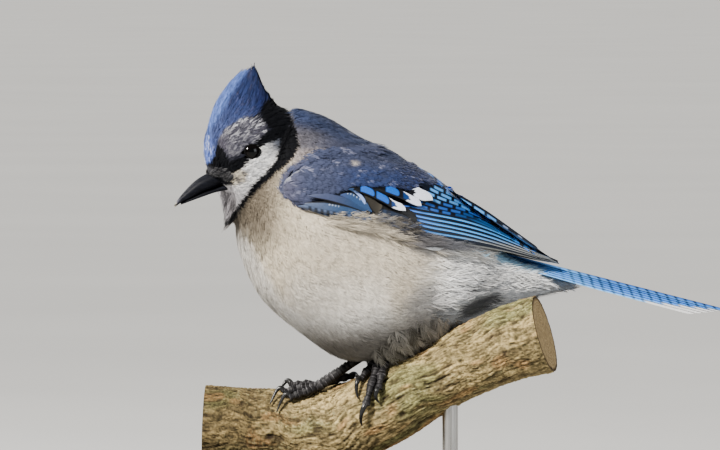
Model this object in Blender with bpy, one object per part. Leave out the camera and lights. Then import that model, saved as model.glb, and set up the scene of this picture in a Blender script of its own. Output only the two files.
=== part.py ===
"""A blue jay at rest on a short cut length of branch, held by a plain display stand.

Metres, +Z up. The origin is the centre of the stand's underside. -Y is the side the model is
usually seen from, and the bird heads towards -X, turned a little towards -Y.
"""

import math

import bmesh
import bpy
import numpy as np
from mathutils import Vector
from mathutils.bvhtree import BVHTree

MM = 0.001
GAP = 0.3

# Driving sizes, in millimetres and degrees
DATUM_HEIGHT = 152.0
BODY_YAW = 13.0
HEAD_YAW = 20.0
HEAD_PLACE = (-51.4, -12.0)
EYE_REAR = -0.8
EYE_HEIGHT = 32.6
EYE_SIDE = 12.8
EYE_RADIUS = 4.8
TAIL_ROOT = (50.0, -8.6)
TAIL_LENGTH = 121.0
TAIL_PITCH = 14.0
TAIL_ROLL = 6.0
TAIL_THICKNESS = 4.4
TAIL_HALF_WIDTH = (11.0, 16.0)
TAIL_ROUND_FROM = 0.86
TAIL_END_NARROWING = 0.55
TAIL_ROOF = 2.2
TARSUS_RADIUS = 1.95
KNOB_RADIUS = 2.7
BASE_SIZE = (156.0, 104.0, 11.0)
BASE_CORNER = 30.0
BASE_CHAMFER = 2.0
ROD_RADIUS = 3.5
ROD_PLACES = (-44.0, 40.0)
ROD_SINK = 6.0

# Trunk rings from the neck to the vent: rear and height of the top point, rear and height of
# the bottom point, and half width, all from the datum
TRUNK = (
    (-30.0, 52.6, -56.0, 3.0, 21.0),
    (-15.6, 48.4, -54.4, -11.2, 29.0),
    (0.0, 39.2, -44.8, -31.8, 35.0),
    (15.6, 32.4, -28.0, -47.0, 37.0),
    (31.3, 19.6, -4.0, -60.8, 36.5),
    (43.8, 7.4, 24.6, -53.0, 30.5),
    (55.8, -3.2, 49.1, -42.0, 22.0),
    (66.0, -13.0, 71.4, -33.5, 13.5),
    (78.0, -20.5, 86.0, -29.0, 9.0),
    (88.0, -24.5, 94.0, -28.5, 5.0),
)

# Head rings from the bill to the nape, in the head's own plane: rear and height of the top
# and bottom points from the eye's plumb line and the datum, and half width
HEAD = (
    (-17.8, 23.6, -11.0, 16.6, 4.6),
    (-17.9, 29.0, -7.4, 14.0, 8.6),
    (-17.8, 35.5, -5.6, 9.0, 11.8),
    (-16.4, 43.5, -5.2, 3.6, 14.2),
    (-9.5, 50.0, -3.0, 0.5, 16.4),
    (0.0, 53.6, 3.0, -1.0, 17.6),
    (10.0, 54.0, 10.0, 0.0, 18.2),
    (19.5, 51.5, 17.0, 4.0, 17.4),
)

# Crest rings from the crown up: height, front and back in the head's plane, and half width
CREST = (
    (40.0, -17.4, 20.0, 12.5),
    (46.0, -16.4, 19.8, 10.5),
    (52.0, -14.4, 16.4, 7.6),
    (57.5, -11.4, 11.6, 5.2),
    (62.0, -8.2, 8.8, 3.8),
    (66.3, -4.2, 7.0, 2.8),
    (70.2, 0.2, 5.0, 1.6),
)

# Bill rings: rear and height of the top and bottom points, and half width
BILL_UPPER = (
    (-12.6, 25.4, -8.6, 19.7, 5.2),
    (-19.3, 22.2, -14.2, 17.3, 4.3),
    (-23.3, 19.6, -19.6, 15.5, 3.4),
    (-27.6, 15.6, -25.0, 12.9, 2.3),
    (-30.9, 11.8, -29.9, 10.7, 1.1),
    (-32.6, 9.3, -32.4, 8.9, 0.35),
)
BILL_LOWER = (
    (-8.3, 19.2, -8.8, 15.9, 4.8),
    (-14.4, 16.8, -14.2, 14.9, 3.9),
    (-19.7, 15.0, -19.8, 13.1, 3.0),
    (-25.2, 12.4, -25.4, 11.2, 1.8),
    (-29.4, 10.3, -29.4, 9.8, 0.6),
)

# Wing stations from the bend to the tip: rear and height of the lower edge, its distance from
# the body's middle plane, and the same for the upper edge
WING = (
    (-42.6, 16.0, 25.0, -41.8, 19.5, 24.0),
    (-36.2, 9.6, 30.0, -35.4, 26.5, 22.0),
    (-19.5, 5.7, 34.0, -19.3, 31.5, 17.0),
    (-0.8, 1.7, 37.0, 4.3, 33.2, 8.0),
    (17.6, -3.0, 36.0, 27.8, 26.2, 2.6),
    (38.0, -7.8, 29.5, 45.2, 12.6, 1.5),
    (57.9, -11.3, 21.5, 63.0, 0.2, 1.5),
    (77.8, -14.6, 13.5, 79.9, -11.4, 4.0),
    (88.6, -16.6, 9.6, 88.9, -15.8, 8.6),
)
WING_PROUD = 1.6
WING_THICKNESS = (3.6, 1.0)
WING_CLEAR = 9.0
WING_FREE_FROM = 0.62
WING_FREE_FADE = 0.2
WING_LEAST_SIDE = 0.6

# Branch stations: X, Y and height of its middle, and its radius
PERCH = (
    (-69.6, 20.0, -91.0, 18.5),
    (-47.8, 19.0, -91.7, 18.5),
    (-26.1, 15.5, -91.0, 18.5),
    (-6.5, 8.5, -89.2, 18.2),
    (12.2, 0.0, -80.4, 17.3),
    (30.4, -6.5, -69.6, 15.9),
    (47.8, -11.0, -60.0, 15.8),
    (65.2, -15.5, -52.6, 16.8),
    (81.7, -19.0, -47.8, 17.8),
)

PERCH_COUNT = 41

# Each foot's middle: X, and the angle round the branch from its top towards -Y
FEET = {"left": (10.9, 8.0), "right": (-18.5, 27.0)}

# Toes on the branch: X and that angle at the root and at the end, then the root's and end's
# radius, and how far the claw goes on along X and round
TOES = {
    "left": {
        "inner": ((8.0, 6.0), (0.2, 43.0), (1.9, 1.4), (-0.9, 27.0)),
        "middle": ((10.2, 12.0), (2.6, 84.0), (2.1, 1.5), (-1.7, 23.0)),
        "outer": ((12.2, 16.0), (8.2, 71.0), (1.9, 1.45), (0.4, 17.0)),
        "hind": ((14.0, 2.0), (25.0, -7.0), (2.0, 1.5), (4.6, -20.0)),
    },
    "right": {
        "inner": ((-20.0, 32.0), (-31.5, 46.0), (1.9, 1.4), (-5.6, 19.0)),
        "middle": ((-21.0, 26.0), (-34.4, 36.0), (2.1, 1.5), (-5.6, 16.0)),
        "outer": ((-20.5, 20.0), (-31.0, 19.0), (1.9, 1.45), (-4.8, 6.0)),
        "hind": ((-15.0, 18.0), (-3.0, -10.0), (2.0, 1.5), (4.6, -18.0)),
    },
}
TOE_RISE = 0.3
FOOT_HEIGHT = 2.5
CLAW_ROOT = 1.1
CLAW_TIP = 0.28

# Each shank above its foot, up into the belly: X, Y and height of points on it
SHANKS = {
    "left": ((14.2, -4.6, -52.4), (19.0, -5.0, -44.0), (24.0, -5.0, -34.0)),
    "right": ((-4.4, 4.5, -62.2), (7.5, 8.5, -54.5), (19.0, 12.0, -44.0)),
}

# Cuts between body parts, each through a low and a high point of the side view
COLLAR = ((-58.9, 0.4), (-30.4, 49.1))
SHOULDER = ((-53.6, -10.9), (-15.6, 45.2))
CROWN = ((-20.0, 43.0), (16.0, 55.5))

COLOURS = {
    "trunk": (0.62, 0.57, 0.50),
    "neck": (0.20, 0.21, 0.28),
    "head": (0.60, 0.58, 0.56),
    "crest": (0.13, 0.20, 0.45),
    "wing": (0.06, 0.22, 0.62),
    "tail": (0.12, 0.32, 0.72),
    "bill": (0.035, 0.036, 0.045),
    "eye": (0.012, 0.008, 0.006),
    "leg": (0.045, 0.042, 0.045),
    "claw": (0.03, 0.028, 0.03),
    "bark": (0.36, 0.28, 0.17),
    "base": (0.055, 0.035, 0.025),
    "rod": (0.55, 0.54, 0.52),
}


def clear_scene():
    for old in list(bpy.data.objects):
        bpy.data.objects.remove(old)


def material(name, roughness, metallic=0.0):
    made = bpy.data.materials.get(name) or bpy.data.materials.new(name)
    made.use_nodes = True
    shader = made.node_tree.nodes["Principled BSDF"]
    shader.inputs["Base Color"].default_value = (*COLOURS[name], 1.0)
    shader.inputs["Roughness"].default_value = roughness
    shader.inputs["Metallic"].default_value = metallic
    return made


def eased(table, count):
    """The table's rows read along a smooth curve through them, count rows in all."""
    rows = np.array(table, float)
    padded = np.vstack([2 * rows[0] - rows[1], rows, 2 * rows[-1] - rows[-2]])
    found = []
    for x in np.linspace(0.0, len(rows) - 1.0, count):
        i = min(int(x), len(rows) - 2)
        t = x - i
        a, b, c, d = padded[i : i + 4]
        found.append(
            0.5 * (2 * b + (c - a) * t + (2 * a - 5 * b + 4 * c - d) * t**2
                   + (3 * b - a - 3 * c + d) * t**3)
        )
    return np.array(found)


def on_body(rear, left, up):
    """World place of a point in the body's frame: rearward, to the bird's left, and up."""
    yaw = math.radians(BODY_YAW)
    x = rear * math.cos(yaw) + left * math.sin(yaw)
    y = rear * math.sin(yaw) - left * math.cos(yaw)
    return Vector((x, y, up + DATUM_HEIGHT)) * MM


def on_head(rear, left, up):
    yaw = math.radians(HEAD_YAW)
    x = HEAD_PLACE[0] + rear * math.cos(yaw) + left * math.sin(yaw)
    y = HEAD_PLACE[1] + rear * math.sin(yaw) - left * math.cos(yaw)
    return Vector((x, y, up + DATUM_HEIGHT)) * MM


def standing(x, y, up):
    return Vector((x, y, up + DATUM_HEIGHT)) * MM


def object_of(name, mesh, finish=None):
    made = bpy.data.objects.new(name, mesh)
    bpy.context.scene.collection.objects.link(made)
    if finish:
        mesh.materials.clear()
        mesh.materials.append(finish)
    return made


def add_loft(bm, rings):
    """A closed tube through rings of points, each end closed by a fan."""
    rows = [[bm.verts.new(p) for p in ring] for ring in rings]
    for low, high in zip(rows, rows[1:]):
        for i, corner in enumerate(low):
            j = (i + 1) % len(low)
            bm.faces.new((corner, low[j], high[j], high[i]))
    for row in (rows[0], rows[-1]):
        middle = bm.verts.new(sum((v.co for v in row), Vector()) / len(row))
        for i, corner in enumerate(row):
            bm.faces.new((corner, row[(i + 1) % len(row)], middle))


def mesh_of(name, *lofts):
    bm = bmesh.new()
    for rings in lofts:
        add_loft(bm, rings)
    bmesh.ops.recalc_face_normals(bm, faces=bm.faces)
    mesh = bpy.data.meshes.new(name)
    bm.to_mesh(mesh)
    bm.free()
    mesh.shade_smooth()
    return mesh


def oval(place, top, bottom, half_width, sides, grow=0.0, fullness=2.0):
    """One ring from its top and bottom points and its half width."""
    top, bottom = np.array(top), np.array(bottom)
    middle, arm = (top + bottom) / 2, (top - bottom) / 2
    arm *= 1 + grow / np.linalg.norm(arm)
    ring = []
    for k in range(sides):
        turn = 2 * math.pi * k / sides
        c, s = math.cos(turn), math.sin(turn)
        c = math.copysign(abs(c) ** (2 / fullness), c)
        s = math.copysign(abs(s) ** (2 / fullness), s)
        rear, up = middle + arm * c
        ring.append(place(rear, s * (half_width + grow), up))
    return ring


def oval_rings(place, table, count, sides, grow=0.0, fullness=2.0):
    return [
        oval(place, row[0:2], row[2:4], row[4], sides, grow, fullness)
        for row in eased(table, count)
    ]


def crest_rings(count, sides):
    rings = []
    for up, front, back, half_width in eased(CREST, count):
        middle, reach = (front + back) / 2, (back - front) / 2
        turns = [2 * math.pi * k / sides for k in range(sides)]
        rings.append(
            [on_head(middle + reach * math.cos(t), half_width * math.sin(t), up) for t in turns]
        )
    return rings


def applied(obj):
    """The object's mesh as its modifiers make it."""
    bpy.context.view_layer.update()
    graph = bpy.context.evaluated_depsgraph_get()
    return bpy.data.meshes.new_from_object(obj.evaluated_get(graph))


def combined(mesh, operation, *others):
    """The mesh after a Boolean with each of the other meshes."""
    holder = object_of("holder", mesh)
    helpers = []
    for other in others:
        helper = object_of("helper", other)
        helpers.append(helper)
        step = holder.modifiers.new(operation.lower(), "BOOLEAN")
        step.operation = operation
        step.solver = "EXACT"
        step.object = helper
    made = applied(holder)
    for used in (holder, *helpers):
        bpy.data.objects.remove(used)
    return made


def whole_bird():
    """Trunk, neck, head and crest as one smooth closed surface."""
    parts = mesh_of(
        "whole",
        oval_rings(on_body, TRUNK, 26, 28, fullness=2.15),
        oval_rings(on_head, HEAD, 18, 24),
        crest_rings(14, 20),
    )
    holder = object_of("whole", parts)
    remesh = holder.modifiers.new("one surface", "REMESH")
    remesh.mode = "VOXEL"
    remesh.voxel_size = 1.5 * MM
    soften = holder.modifiers.new("soften", "SMOOTH")
    soften.factor = 0.5
    soften.iterations = 6
    thin = holder.modifiers.new("fewer faces", "DECIMATE")
    thin.ratio = 0.026
    made = applied(holder)
    bpy.data.objects.remove(holder)
    return made


def slab(place, low, high, side, depth=400.0):
    """A block with one face on the plane through two points of a side view. The block lies on
    the given side of the line from low to high: +1 for its right, -1 for its left."""
    low, high = np.array(low, float), np.array(high, float)
    along = (high - low) / np.linalg.norm(high - low)
    across = np.array((along[1], -along[0])) * side
    middle = (low + high) / 2
    near, far = middle + across * GAP / 2, middle + across * depth
    reach = along * depth
    outline = [near - reach, near + reach, far + reach, far - reach]
    rings = [[place(p[0], left, p[1]) for p in outline] for left in (-depth, depth)]
    return mesh_of("slab", rings)


def main_body(mesh):
    """The mesh's largest piece alone, without any flake a cut has left loose."""
    bm = bmesh.new()
    bm.from_mesh(mesh)
    bm.verts.ensure_lookup_table()
    seen, pieces = set(), []
    for start in bm.verts:
        if start in seen:
            continue
        seen.add(start)
        piece, edge_of = [start], [start]
        while edge_of:
            for link in edge_of.pop().link_edges:
                for vert in link.verts:
                    if vert not in seen:
                        seen.add(vert)
                        piece.append(vert)
                        edge_of.append(vert)
        pieces.append(piece)
    pieces.sort(key=len)
    bmesh.ops.delete(bm, geom=[v for piece in pieces[:-1] for v in piece], context="VERTS")
    bm.to_mesh(mesh)
    bm.free()
    return mesh


def surface_finder(mesh):
    tree = BVHTree.FromPolygons(
        [v.co for v in mesh.vertices], [tuple(p.vertices) for p in mesh.polygons]
    )
    inward = on_body(0, -1, 0) - on_body(0, 0, 0)

    def left_of(rear, up):
        """How far left of the middle plane the surface is, or 0 past its outline."""
        start = on_body(rear, 90.0, up)
        hit = tree.ray_cast(start, inward.normalized(), 90.0 * MM)[3]
        return 90.0 - hit / MM if hit else 0.0

    return left_of


def wing_grid(left_of, rows, columns):
    """Points of the folded wing's outer face in the body's frame, from edge to edge."""
    grid = np.zeros((rows, columns, 3))
    for i, station in enumerate(eased(WING, rows)):
        low, high = station[0:3], station[3:6]
        for j in range(columns):
            b = j / (columns - 1)
            rear = low[0] + (high[0] - low[0]) * b
            up = low[1] + (high[1] - low[1]) * b
            arc = high[2] + (low[2] - high[2]) * math.sqrt(max(0.0, 1 - b**1.7))
            along = i / (rows - 1)
            skin = left_of(rear, up) + WING_PROUD if along < WING_FREE_FROM else 0.0
            weight = min(1.0, max(0.0, (WING_FREE_FROM - along) / WING_FREE_FADE))
            grid[i, j] = (rear, arc + max(0.0, skin - arc) * weight, up)
    return grid


def wing_mesh(left_of, side, grow=0.0, outward=0.0):
    """The folded wing as a closed curved plate, its outer face moved out by more where asked.
    side is 1 for the left wing, -1 for the right."""
    rows, columns = 17, 7
    grid = wing_grid(left_of, rows, columns)
    along = np.gradient(grid, axis=0)
    across = np.gradient(grid, axis=1)
    normal = np.cross(along, across)
    normal /= np.linalg.norm(normal, axis=2, keepdims=True)
    normal *= np.sign(normal[:, :, 1:2])
    depth = np.linspace(WING_THICKNESS[0], WING_THICKNESS[1], rows)[:, None, None]
    outer = grid + normal * (grow + outward)
    inner = grid - normal * (depth + grow)
    edge = np.zeros_like(grid)
    edge[:, 0] = -(grid[:, 1] - grid[:, 0])
    edge[:, -1] = grid[:, -1] - grid[:, -2]
    edge[0] -= along[0]
    edge[-1] += along[-1]
    length = np.linalg.norm(edge, axis=2, keepdims=True)
    edge = np.divide(edge, length, out=edge, where=length > 0) * grow * 1.5
    outer += edge
    inner += edge
    rings = []
    for top, under in zip(outer, inner):
        outline = [*top, *under[::-1]]
        least = WING_LEAST_SIDE - grow
        rings.append([on_body(p[0], side * max(p[1], least), p[2]) for p in outline])
    return mesh_of("wing", rings)


def tail_mesh(grow=0.0):
    """The closed tail: a long flat shape, a little roofed, with a rounded end."""
    pitch, roll = math.radians(TAIL_PITCH), math.radians(TAIL_ROLL)
    rings = []
    for t in np.linspace(0.0, 1.0, 12):
        far = TAIL_LENGTH * t + grow * (2 * t - 1)
        near_end = max(0.0, (t - TAIL_ROUND_FROM) / (1 - TAIL_ROUND_FROM))
        half_width = TAIL_HALF_WIDTH[0] + (TAIL_HALF_WIDTH[1] - TAIL_HALF_WIDTH[0]) * t
        half_width = half_width * (1 - TAIL_END_NARROWING * near_end**2.2) + grow
        half_depth = TAIL_THICKNESS / 2 * (1 - 0.68 * t)
        rear = TAIL_ROOT[0] + far * math.cos(pitch)
        up = TAIL_ROOT[1] - far * math.sin(pitch) - half_depth
        half_depth += grow
        ring = []
        for k in range(16):
            turn = 2 * math.pi * k / 16
            left = half_width * math.sin(turn)
            rise = half_depth * math.copysign(abs(math.cos(turn)) ** 0.7, math.cos(turn))
            roof = -TAIL_ROOF * (left / TAIL_HALF_WIDTH[1]) ** 2 - left * math.tan(roll)
            ring.append(on_body(rear, left, up + rise + roof))
        rings.append(ring)
    return mesh_of("tail", rings)


def tube(points, radii, sides=10, grow=0.0):
    """Rings round a path, for a loft."""
    path = [Vector(p) for p in points]
    rings = []
    up = Vector((0.13, 0.21, 0.97))
    for i, point in enumerate(path):
        along = (path[min(i + 1, len(path) - 1)] - path[max(i - 1, 0)]).normalized()
        side = along.cross(up).normalized()
        lift = side.cross(along).normalized()
        r = (radii[i] + grow) * MM
        turns = [2 * math.pi * k / sides for k in range(sides)]
        rings.append([point + side * r * math.cos(t) + lift * r * math.sin(t) for t in turns])
    return rings


def perch_at(x):
    """The branch's middle, radius and direction at a distance X along it."""
    rows = eased(PERCH, PERCH_COUNT)
    place = np.array([np.interp(x, rows[:, 0], rows[:, k]) for k in range(4)])
    ahead = np.array([np.interp(x + 1.0, rows[:, 0], rows[:, k]) for k in range(3)])
    behind = np.array([np.interp(x - 1.0, rows[:, 0], rows[:, k]) for k in range(3)])
    along = Vector(ahead - behind).normalized()
    return Vector(place[:3]), place[3], along


def round_perch(station, angle, above):
    """A point beside the branch, square to it at a station, at an angle from its top."""
    middle, radius, along = perch_at(station)
    side = along.cross(Vector((0, 0, 1))).normalized()
    top = side.cross(along).normalized()
    turn = math.radians(angle)
    return middle + (top * math.cos(turn) + side * math.sin(turn)) * (radius + above)


def on_perch(x, angle, above):
    """World place of the point at a true X, at an angle round the branch towards -Y."""
    station = x
    for _ in range(6):
        station += x - round_perch(station, angle, above).x
    return standing(*round_perch(station, angle, above))


def perch_rings(grow=0.0):
    rings = []
    sides = 18
    stations = np.linspace(PERCH[0][0], PERCH[-1][0], 17)
    for station in stations:
        around = [round_perch(station, 360.0 * k / sides, grow) for k in range(sides)]
        rings.append([standing(*point) for point in around])
    return rings


def foot_root(foot):
    return on_perch(*FEET[foot], FOOT_HEIGHT)


def toe_rings(foot, digit, grow=0.0):
    """A toe from the foot's middle along the branch, with a slight swelling at each joint."""
    (x0, a0), (x1, a1), (r0, r1), _ = TOES[foot][digit]
    root = foot_root(foot)
    points, radii = [], []
    for t in np.linspace(0.0, 1.0, 9):
        r = r0 + (r1 - r0) * t
        pad = 1 + 0.10 * math.cos(6 * math.pi * t)
        lying = on_perch(x0 + (x1 - x0) * t, a0 + (a1 - a0) * t, r * 1.1 + GAP)
        down = min(1.0, t / TOE_RISE)
        points.append(root.lerp(lying, down * down * (3 - 2 * down)))
        radii.append(r * pad)
    return tube(points, radii, sides=7, grow=grow)


def claw_rings(foot, digit, grow=0.0):
    """A hooked claw that leaves the toe's end, arches up and comes down to the bark."""
    _, (x1, a1), (_, r1), (reach, turn) = TOES[foot][digit]
    points, radii = [], []
    for t in np.linspace(0.0, 1.0, 7):
        arch = 0.9 * math.sin(math.pi * min(1.0, t * 1.1)) * (1 - t)
        above = GAP + 0.12 + CLAW_TIP + (r1 * 1.15 - CLAW_TIP) * (1 - t**2.2) + arch
        on = 0.12 + 0.88 * t
        points.append(on_perch(x1 + reach * on, a1 + turn * on, above))
        radii.append(CLAW_ROOT + (CLAW_TIP - CLAW_ROOT) * t**0.9)
    return tube(points, radii, sides=7, grow=grow)


def leg_rings(foot, grow=0.0):
    upper = [Vector(standing(*row)) for row in SHANKS[foot]]
    shank = [Vector(row) for row in eased([foot_root(foot), *upper], 8)]
    return tube(shank, [TARSUS_RADIUS] * len(shank), sides=8, grow=grow)


def leg_mesh(foot, grow=0.0):
    """Shank and toes joined, with a knob where they meet."""
    pieces = [leg_rings(foot, grow)] + [toe_rings(foot, digit, grow) for digit in TOES[foot]]
    meshes = [mesh_of("limb", rings) for rings in pieces]
    bm = bmesh.new()
    bmesh.ops.create_icosphere(bm, subdivisions=1, radius=(KNOB_RADIUS + grow) * MM)
    bmesh.ops.scale(bm, vec=(1.15, 1.0, 0.8), verts=bm.verts)
    bmesh.ops.translate(bm, vec=foot_root(foot), verts=bm.verts)
    knob = bpy.data.meshes.new("knob")
    bm.to_mesh(knob)
    bm.free()
    return combined(knob, "UNION", *meshes)


def ball(place, radius):
    bm = bmesh.new()
    bmesh.ops.create_uvsphere(bm, u_segments=14, v_segments=8, radius=radius * MM)
    bmesh.ops.translate(bm, vec=place, verts=bm.verts)
    made = bpy.data.meshes.new("ball")
    bm.to_mesh(made)
    bm.free()
    made.shade_smooth()
    return made


def cylinder(x, y, low, high, radius):
    rings = []
    for z in (low, high):
        turns = [2 * math.pi * k / 24 for k in range(24)]
        rings.append(
            [Vector((x + radius * math.cos(t), y + radius * math.sin(t), z)) * MM for t in turns]
        )
    return mesh_of("rod", rings)


def base_mesh():
    """A flat plinth with round corners and a chamfered upper edge."""
    half_x, half_y = BASE_SIZE[0] / 2, BASE_SIZE[1] / 2
    levels = ((0.0, 0.0), (BASE_SIZE[2] - BASE_CHAMFER, 0.0), (BASE_SIZE[2], BASE_CHAMFER))
    rings = []
    for z, inset in levels:
        ring = []
        for corner in range(4):
            sx = 1 if corner in (0, 3) else -1
            sy = 1 if corner in (0, 1) else -1
            for k in range(7):
                turn = math.radians(90 * corner + 90 * k / 6)
                r = BASE_CORNER - inset
                x = sx * (half_x - BASE_CORNER) + r * math.cos(turn)
                y = sy * (half_y - BASE_CORNER) + r * math.sin(turn)
                ring.append(Vector((x, y, z)) * MM)
        rings.append(ring)
    return mesh_of("base", rings)


def build():
    clear_scene()
    plumage = {n: material(n, 0.75) for n in ("trunk", "neck", "head", "crest", "wing", "tail")}
    horn, wet = material("bill", 0.35), material("eye", 0.08)
    scales, nail = material("leg", 0.5), material("claw", 0.35)
    bark, lacquer, steel = material("bark", 0.9), material("base", 0.4), material("rod", 0.3, 1.0)

    whole = whole_bird()
    left_of = surface_finder(whole)

    eyes = {
        side: on_head(EYE_REAR, sign * EYE_SIDE, EYE_HEIGHT)
        for side, sign in (("left", 1), ("right", -1))
    }
    bills = {"bill_upper": BILL_UPPER, "bill_lower": BILL_LOWER}
    for name, table in bills.items():
        object_of(name, mesh_of(name, oval_rings(on_head, table, 10, 12)), horn)
    for side, place in eyes.items():
        object_of(f"eye_{side}", ball(place, EYE_RADIUS), wet)

    bill_room = [mesh_of("room", oval_rings(on_head, t, 10, 12, grow=GAP)) for t in bills.values()]
    eye_room = [ball(place, EYE_RADIUS + GAP) for place in eyes.values()]
    front = combined(whole.copy(), "INTERSECT", slab(on_body, *COLLAR, -1))
    crest = combined(front.copy(), "INTERSECT", slab(on_head, *CROWN, -1))
    head = combined(front, "INTERSECT", slab(on_head, *CROWN, 1))
    head = combined(head, "DIFFERENCE", *bill_room, *eye_room)
    neck = combined(whole.copy(), "INTERSECT", slab(on_body, *COLLAR, 1), slab(on_body, *SHOULDER, -1))
    trunk = combined(whole.copy(), "INTERSECT", slab(on_body, *SHOULDER, 1))

    wings = {}
    for side, sign in (("left", 1), ("right", -1)):
        wings[side] = wing_mesh(left_of, sign)
    wing_room = [wing_mesh(left_of, sign, GAP, WING_CLEAR) for sign in (1, -1)]
    tail = main_body(combined(tail_mesh(), "DIFFERENCE", *[m.copy() for m in wing_room]))
    trunk = combined(
        trunk, "DIFFERENCE", *[m.copy() for m in wing_room], tail_mesh(GAP),
        *[leg_mesh(foot, GAP) for foot in FEET],
        *[mesh_of("room", claw_rings(foot, "hind", GAP)) for foot in FEET],
        mesh_of("room", perch_rings(GAP)),
    )
    neck = combined(neck, "DIFFERENCE", *[m.copy() for m in wing_room])
    for name, mesh in (("crest", crest), ("head", head), ("neck", neck), ("trunk", trunk)):
        object_of(name, main_body(mesh), plumage[name])
    for side, mesh in wings.items():
        object_of(f"wing_{side}", mesh, plumage["wing"])
    object_of("tail", tail, plumage["tail"])

    for foot in TOES:
        claws = {digit: claw_rings(foot, digit, GAP) for digit in TOES[foot]}
        leg = combined(
            leg_mesh(foot), "DIFFERENCE", *[mesh_of("room", rings) for rings in claws.values()]
        )
        object_of(f"leg_{foot}", leg, scales)
        for digit in TOES[foot]:
            name = f"claw_{foot}_{digit}"
            object_of(name, mesh_of(name, claw_rings(foot, digit)), nail)

    perch = mesh_of("perch", perch_rings())
    base = base_mesh()
    for name, x in zip(("stand_rod_front", "stand_rod_back"), ROD_PLACES):
        middle, radius, _ = perch_at(x)
        low = BASE_SIZE[2] - ROD_SINK
        high = middle.z + DATUM_HEIGHT - radius + ROD_SINK
        rod = cylinder(x, middle.y, low, high, ROD_RADIUS)
        room = cylinder(x, middle.y, low - GAP, high + GAP, ROD_RADIUS + GAP)
        perch = combined(perch, "DIFFERENCE", room.copy())
        base = combined(base, "DIFFERENCE", room)
        object_of(name, rod, steel)
    object_of("perch", perch, bark)
    object_of("stand_base", base, lacquer)


build()
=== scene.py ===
"""A life-size blue jay on a short cut length of branch, on a plain display stand.

Sizes are in millimetres until a mesh is made. The origin is the centre of the stand's
underside, +Z is up, the bird heads towards -X and its left side faces -Y.
"""

import math

import bmesh
import bpy
import numpy as np
from bpy.props import FloatProperty, FloatVectorProperty, PointerProperty
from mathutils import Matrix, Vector, kdtree
from mathutils.bvhtree import BVHTree


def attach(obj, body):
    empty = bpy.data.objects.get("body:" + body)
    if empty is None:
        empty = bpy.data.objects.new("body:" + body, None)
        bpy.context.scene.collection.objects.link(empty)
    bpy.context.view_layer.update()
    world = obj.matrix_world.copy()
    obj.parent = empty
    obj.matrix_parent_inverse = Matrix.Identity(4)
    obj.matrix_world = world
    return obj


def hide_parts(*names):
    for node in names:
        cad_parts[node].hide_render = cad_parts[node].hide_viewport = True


bl_info = {
    "name": "Perched blue jay",
    "version": (1, 0, 0),
    "blender": (4, 5, 0),
    "location": "View3D > Sidebar > Jay",
    "description": "Builds a perched blue jay, its branch and its stand round a fixed frame",
    "category": "Add Mesh",
}

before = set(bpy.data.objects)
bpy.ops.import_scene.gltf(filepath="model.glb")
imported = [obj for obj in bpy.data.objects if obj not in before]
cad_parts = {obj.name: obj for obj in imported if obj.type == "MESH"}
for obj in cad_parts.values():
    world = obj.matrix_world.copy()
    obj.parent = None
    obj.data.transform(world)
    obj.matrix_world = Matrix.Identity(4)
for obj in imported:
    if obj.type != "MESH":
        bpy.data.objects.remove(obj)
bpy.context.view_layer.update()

MM = 0.001
DATUM = 152.0
PIXELS = 2.25
VIEW_CENTRE = (360.0, 225.0)
SEED = 7

TRUNK = (
    (-30.0, 52.6, -56.0, 3.0, 21.0),
    (-15.6, 48.4, -54.4, -11.2, 29.0),
    (0.0, 39.2, -44.8, -31.8, 35.0),
    (15.6, 32.4, -28.0, -47.0, 37.0),
    (31.3, 19.6, -4.0, -60.8, 36.5),
    (43.8, 7.4, 24.6, -53.0, 30.5),
    (55.8, -3.2, 49.1, -42.0, 22.0),
    (66.0, -13.0, 71.4, -33.5, 13.5),
    (78.0, -20.5, 86.0, -29.0, 9.0),
    (88.0, -24.5, 94.0, -28.5, 5.0),
)
HEAD = (
    (-17.8, 23.6, -11.0, 16.6, 4.6),
    (-17.9, 29.0, -7.4, 14.0, 8.6),
    (-17.8, 35.5, -5.6, 9.0, 11.8),
    (-16.4, 43.5, -5.2, 3.6, 14.2),
    (-9.5, 50.0, -3.0, 0.5, 16.4),
    (0.0, 53.6, 3.0, -1.0, 17.6),
    (10.0, 54.0, 10.0, 0.0, 18.2),
    (19.5, 51.5, 17.0, 4.0, 17.4),
)
CREST = (
    (40.0, -17.4, 20.0, 12.5),
    (46.0, -16.4, 19.8, 10.5),
    (52.0, -14.4, 16.4, 7.6),
    (57.5, -11.4, 11.6, 5.2),
    (62.0, -8.2, 8.8, 3.8),
    (66.3, -4.2, 7.0, 2.8),
    (70.2, 0.2, 5.0, 1.6),
)
BILL_UPPER = (
    (-12.6, 25.4, -8.6, 19.7, 5.2),
    (-19.3, 22.2, -14.2, 17.3, 4.3),
    (-23.3, 19.6, -19.6, 15.5, 3.4),
    (-27.6, 15.6, -25.0, 12.9, 2.3),
    (-30.9, 11.8, -29.9, 10.7, 1.1),
    (-32.6, 9.3, -32.4, 8.9, 0.35),
)
BILL_LOWER = (
    (-8.3, 19.2, -8.8, 15.9, 4.8),
    (-14.4, 16.8, -14.2, 14.9, 3.9),
    (-19.7, 15.0, -19.8, 13.1, 3.0),
    (-25.2, 12.4, -25.4, 11.2, 1.8),
    (-29.4, 10.3, -29.4, 9.8, 0.6),
)
EYE_REAR = -1.5
EYE_HEIGHT = 33.1
EYE_SIDE = 12.8
EYE_RADIUS = 4.8
TAIL_ROOT = (50.0, -8.6)
TAIL_LENGTH = 121.0
TAIL_PITCH = 14.0
TAIL_ROLL = 6.0
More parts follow.
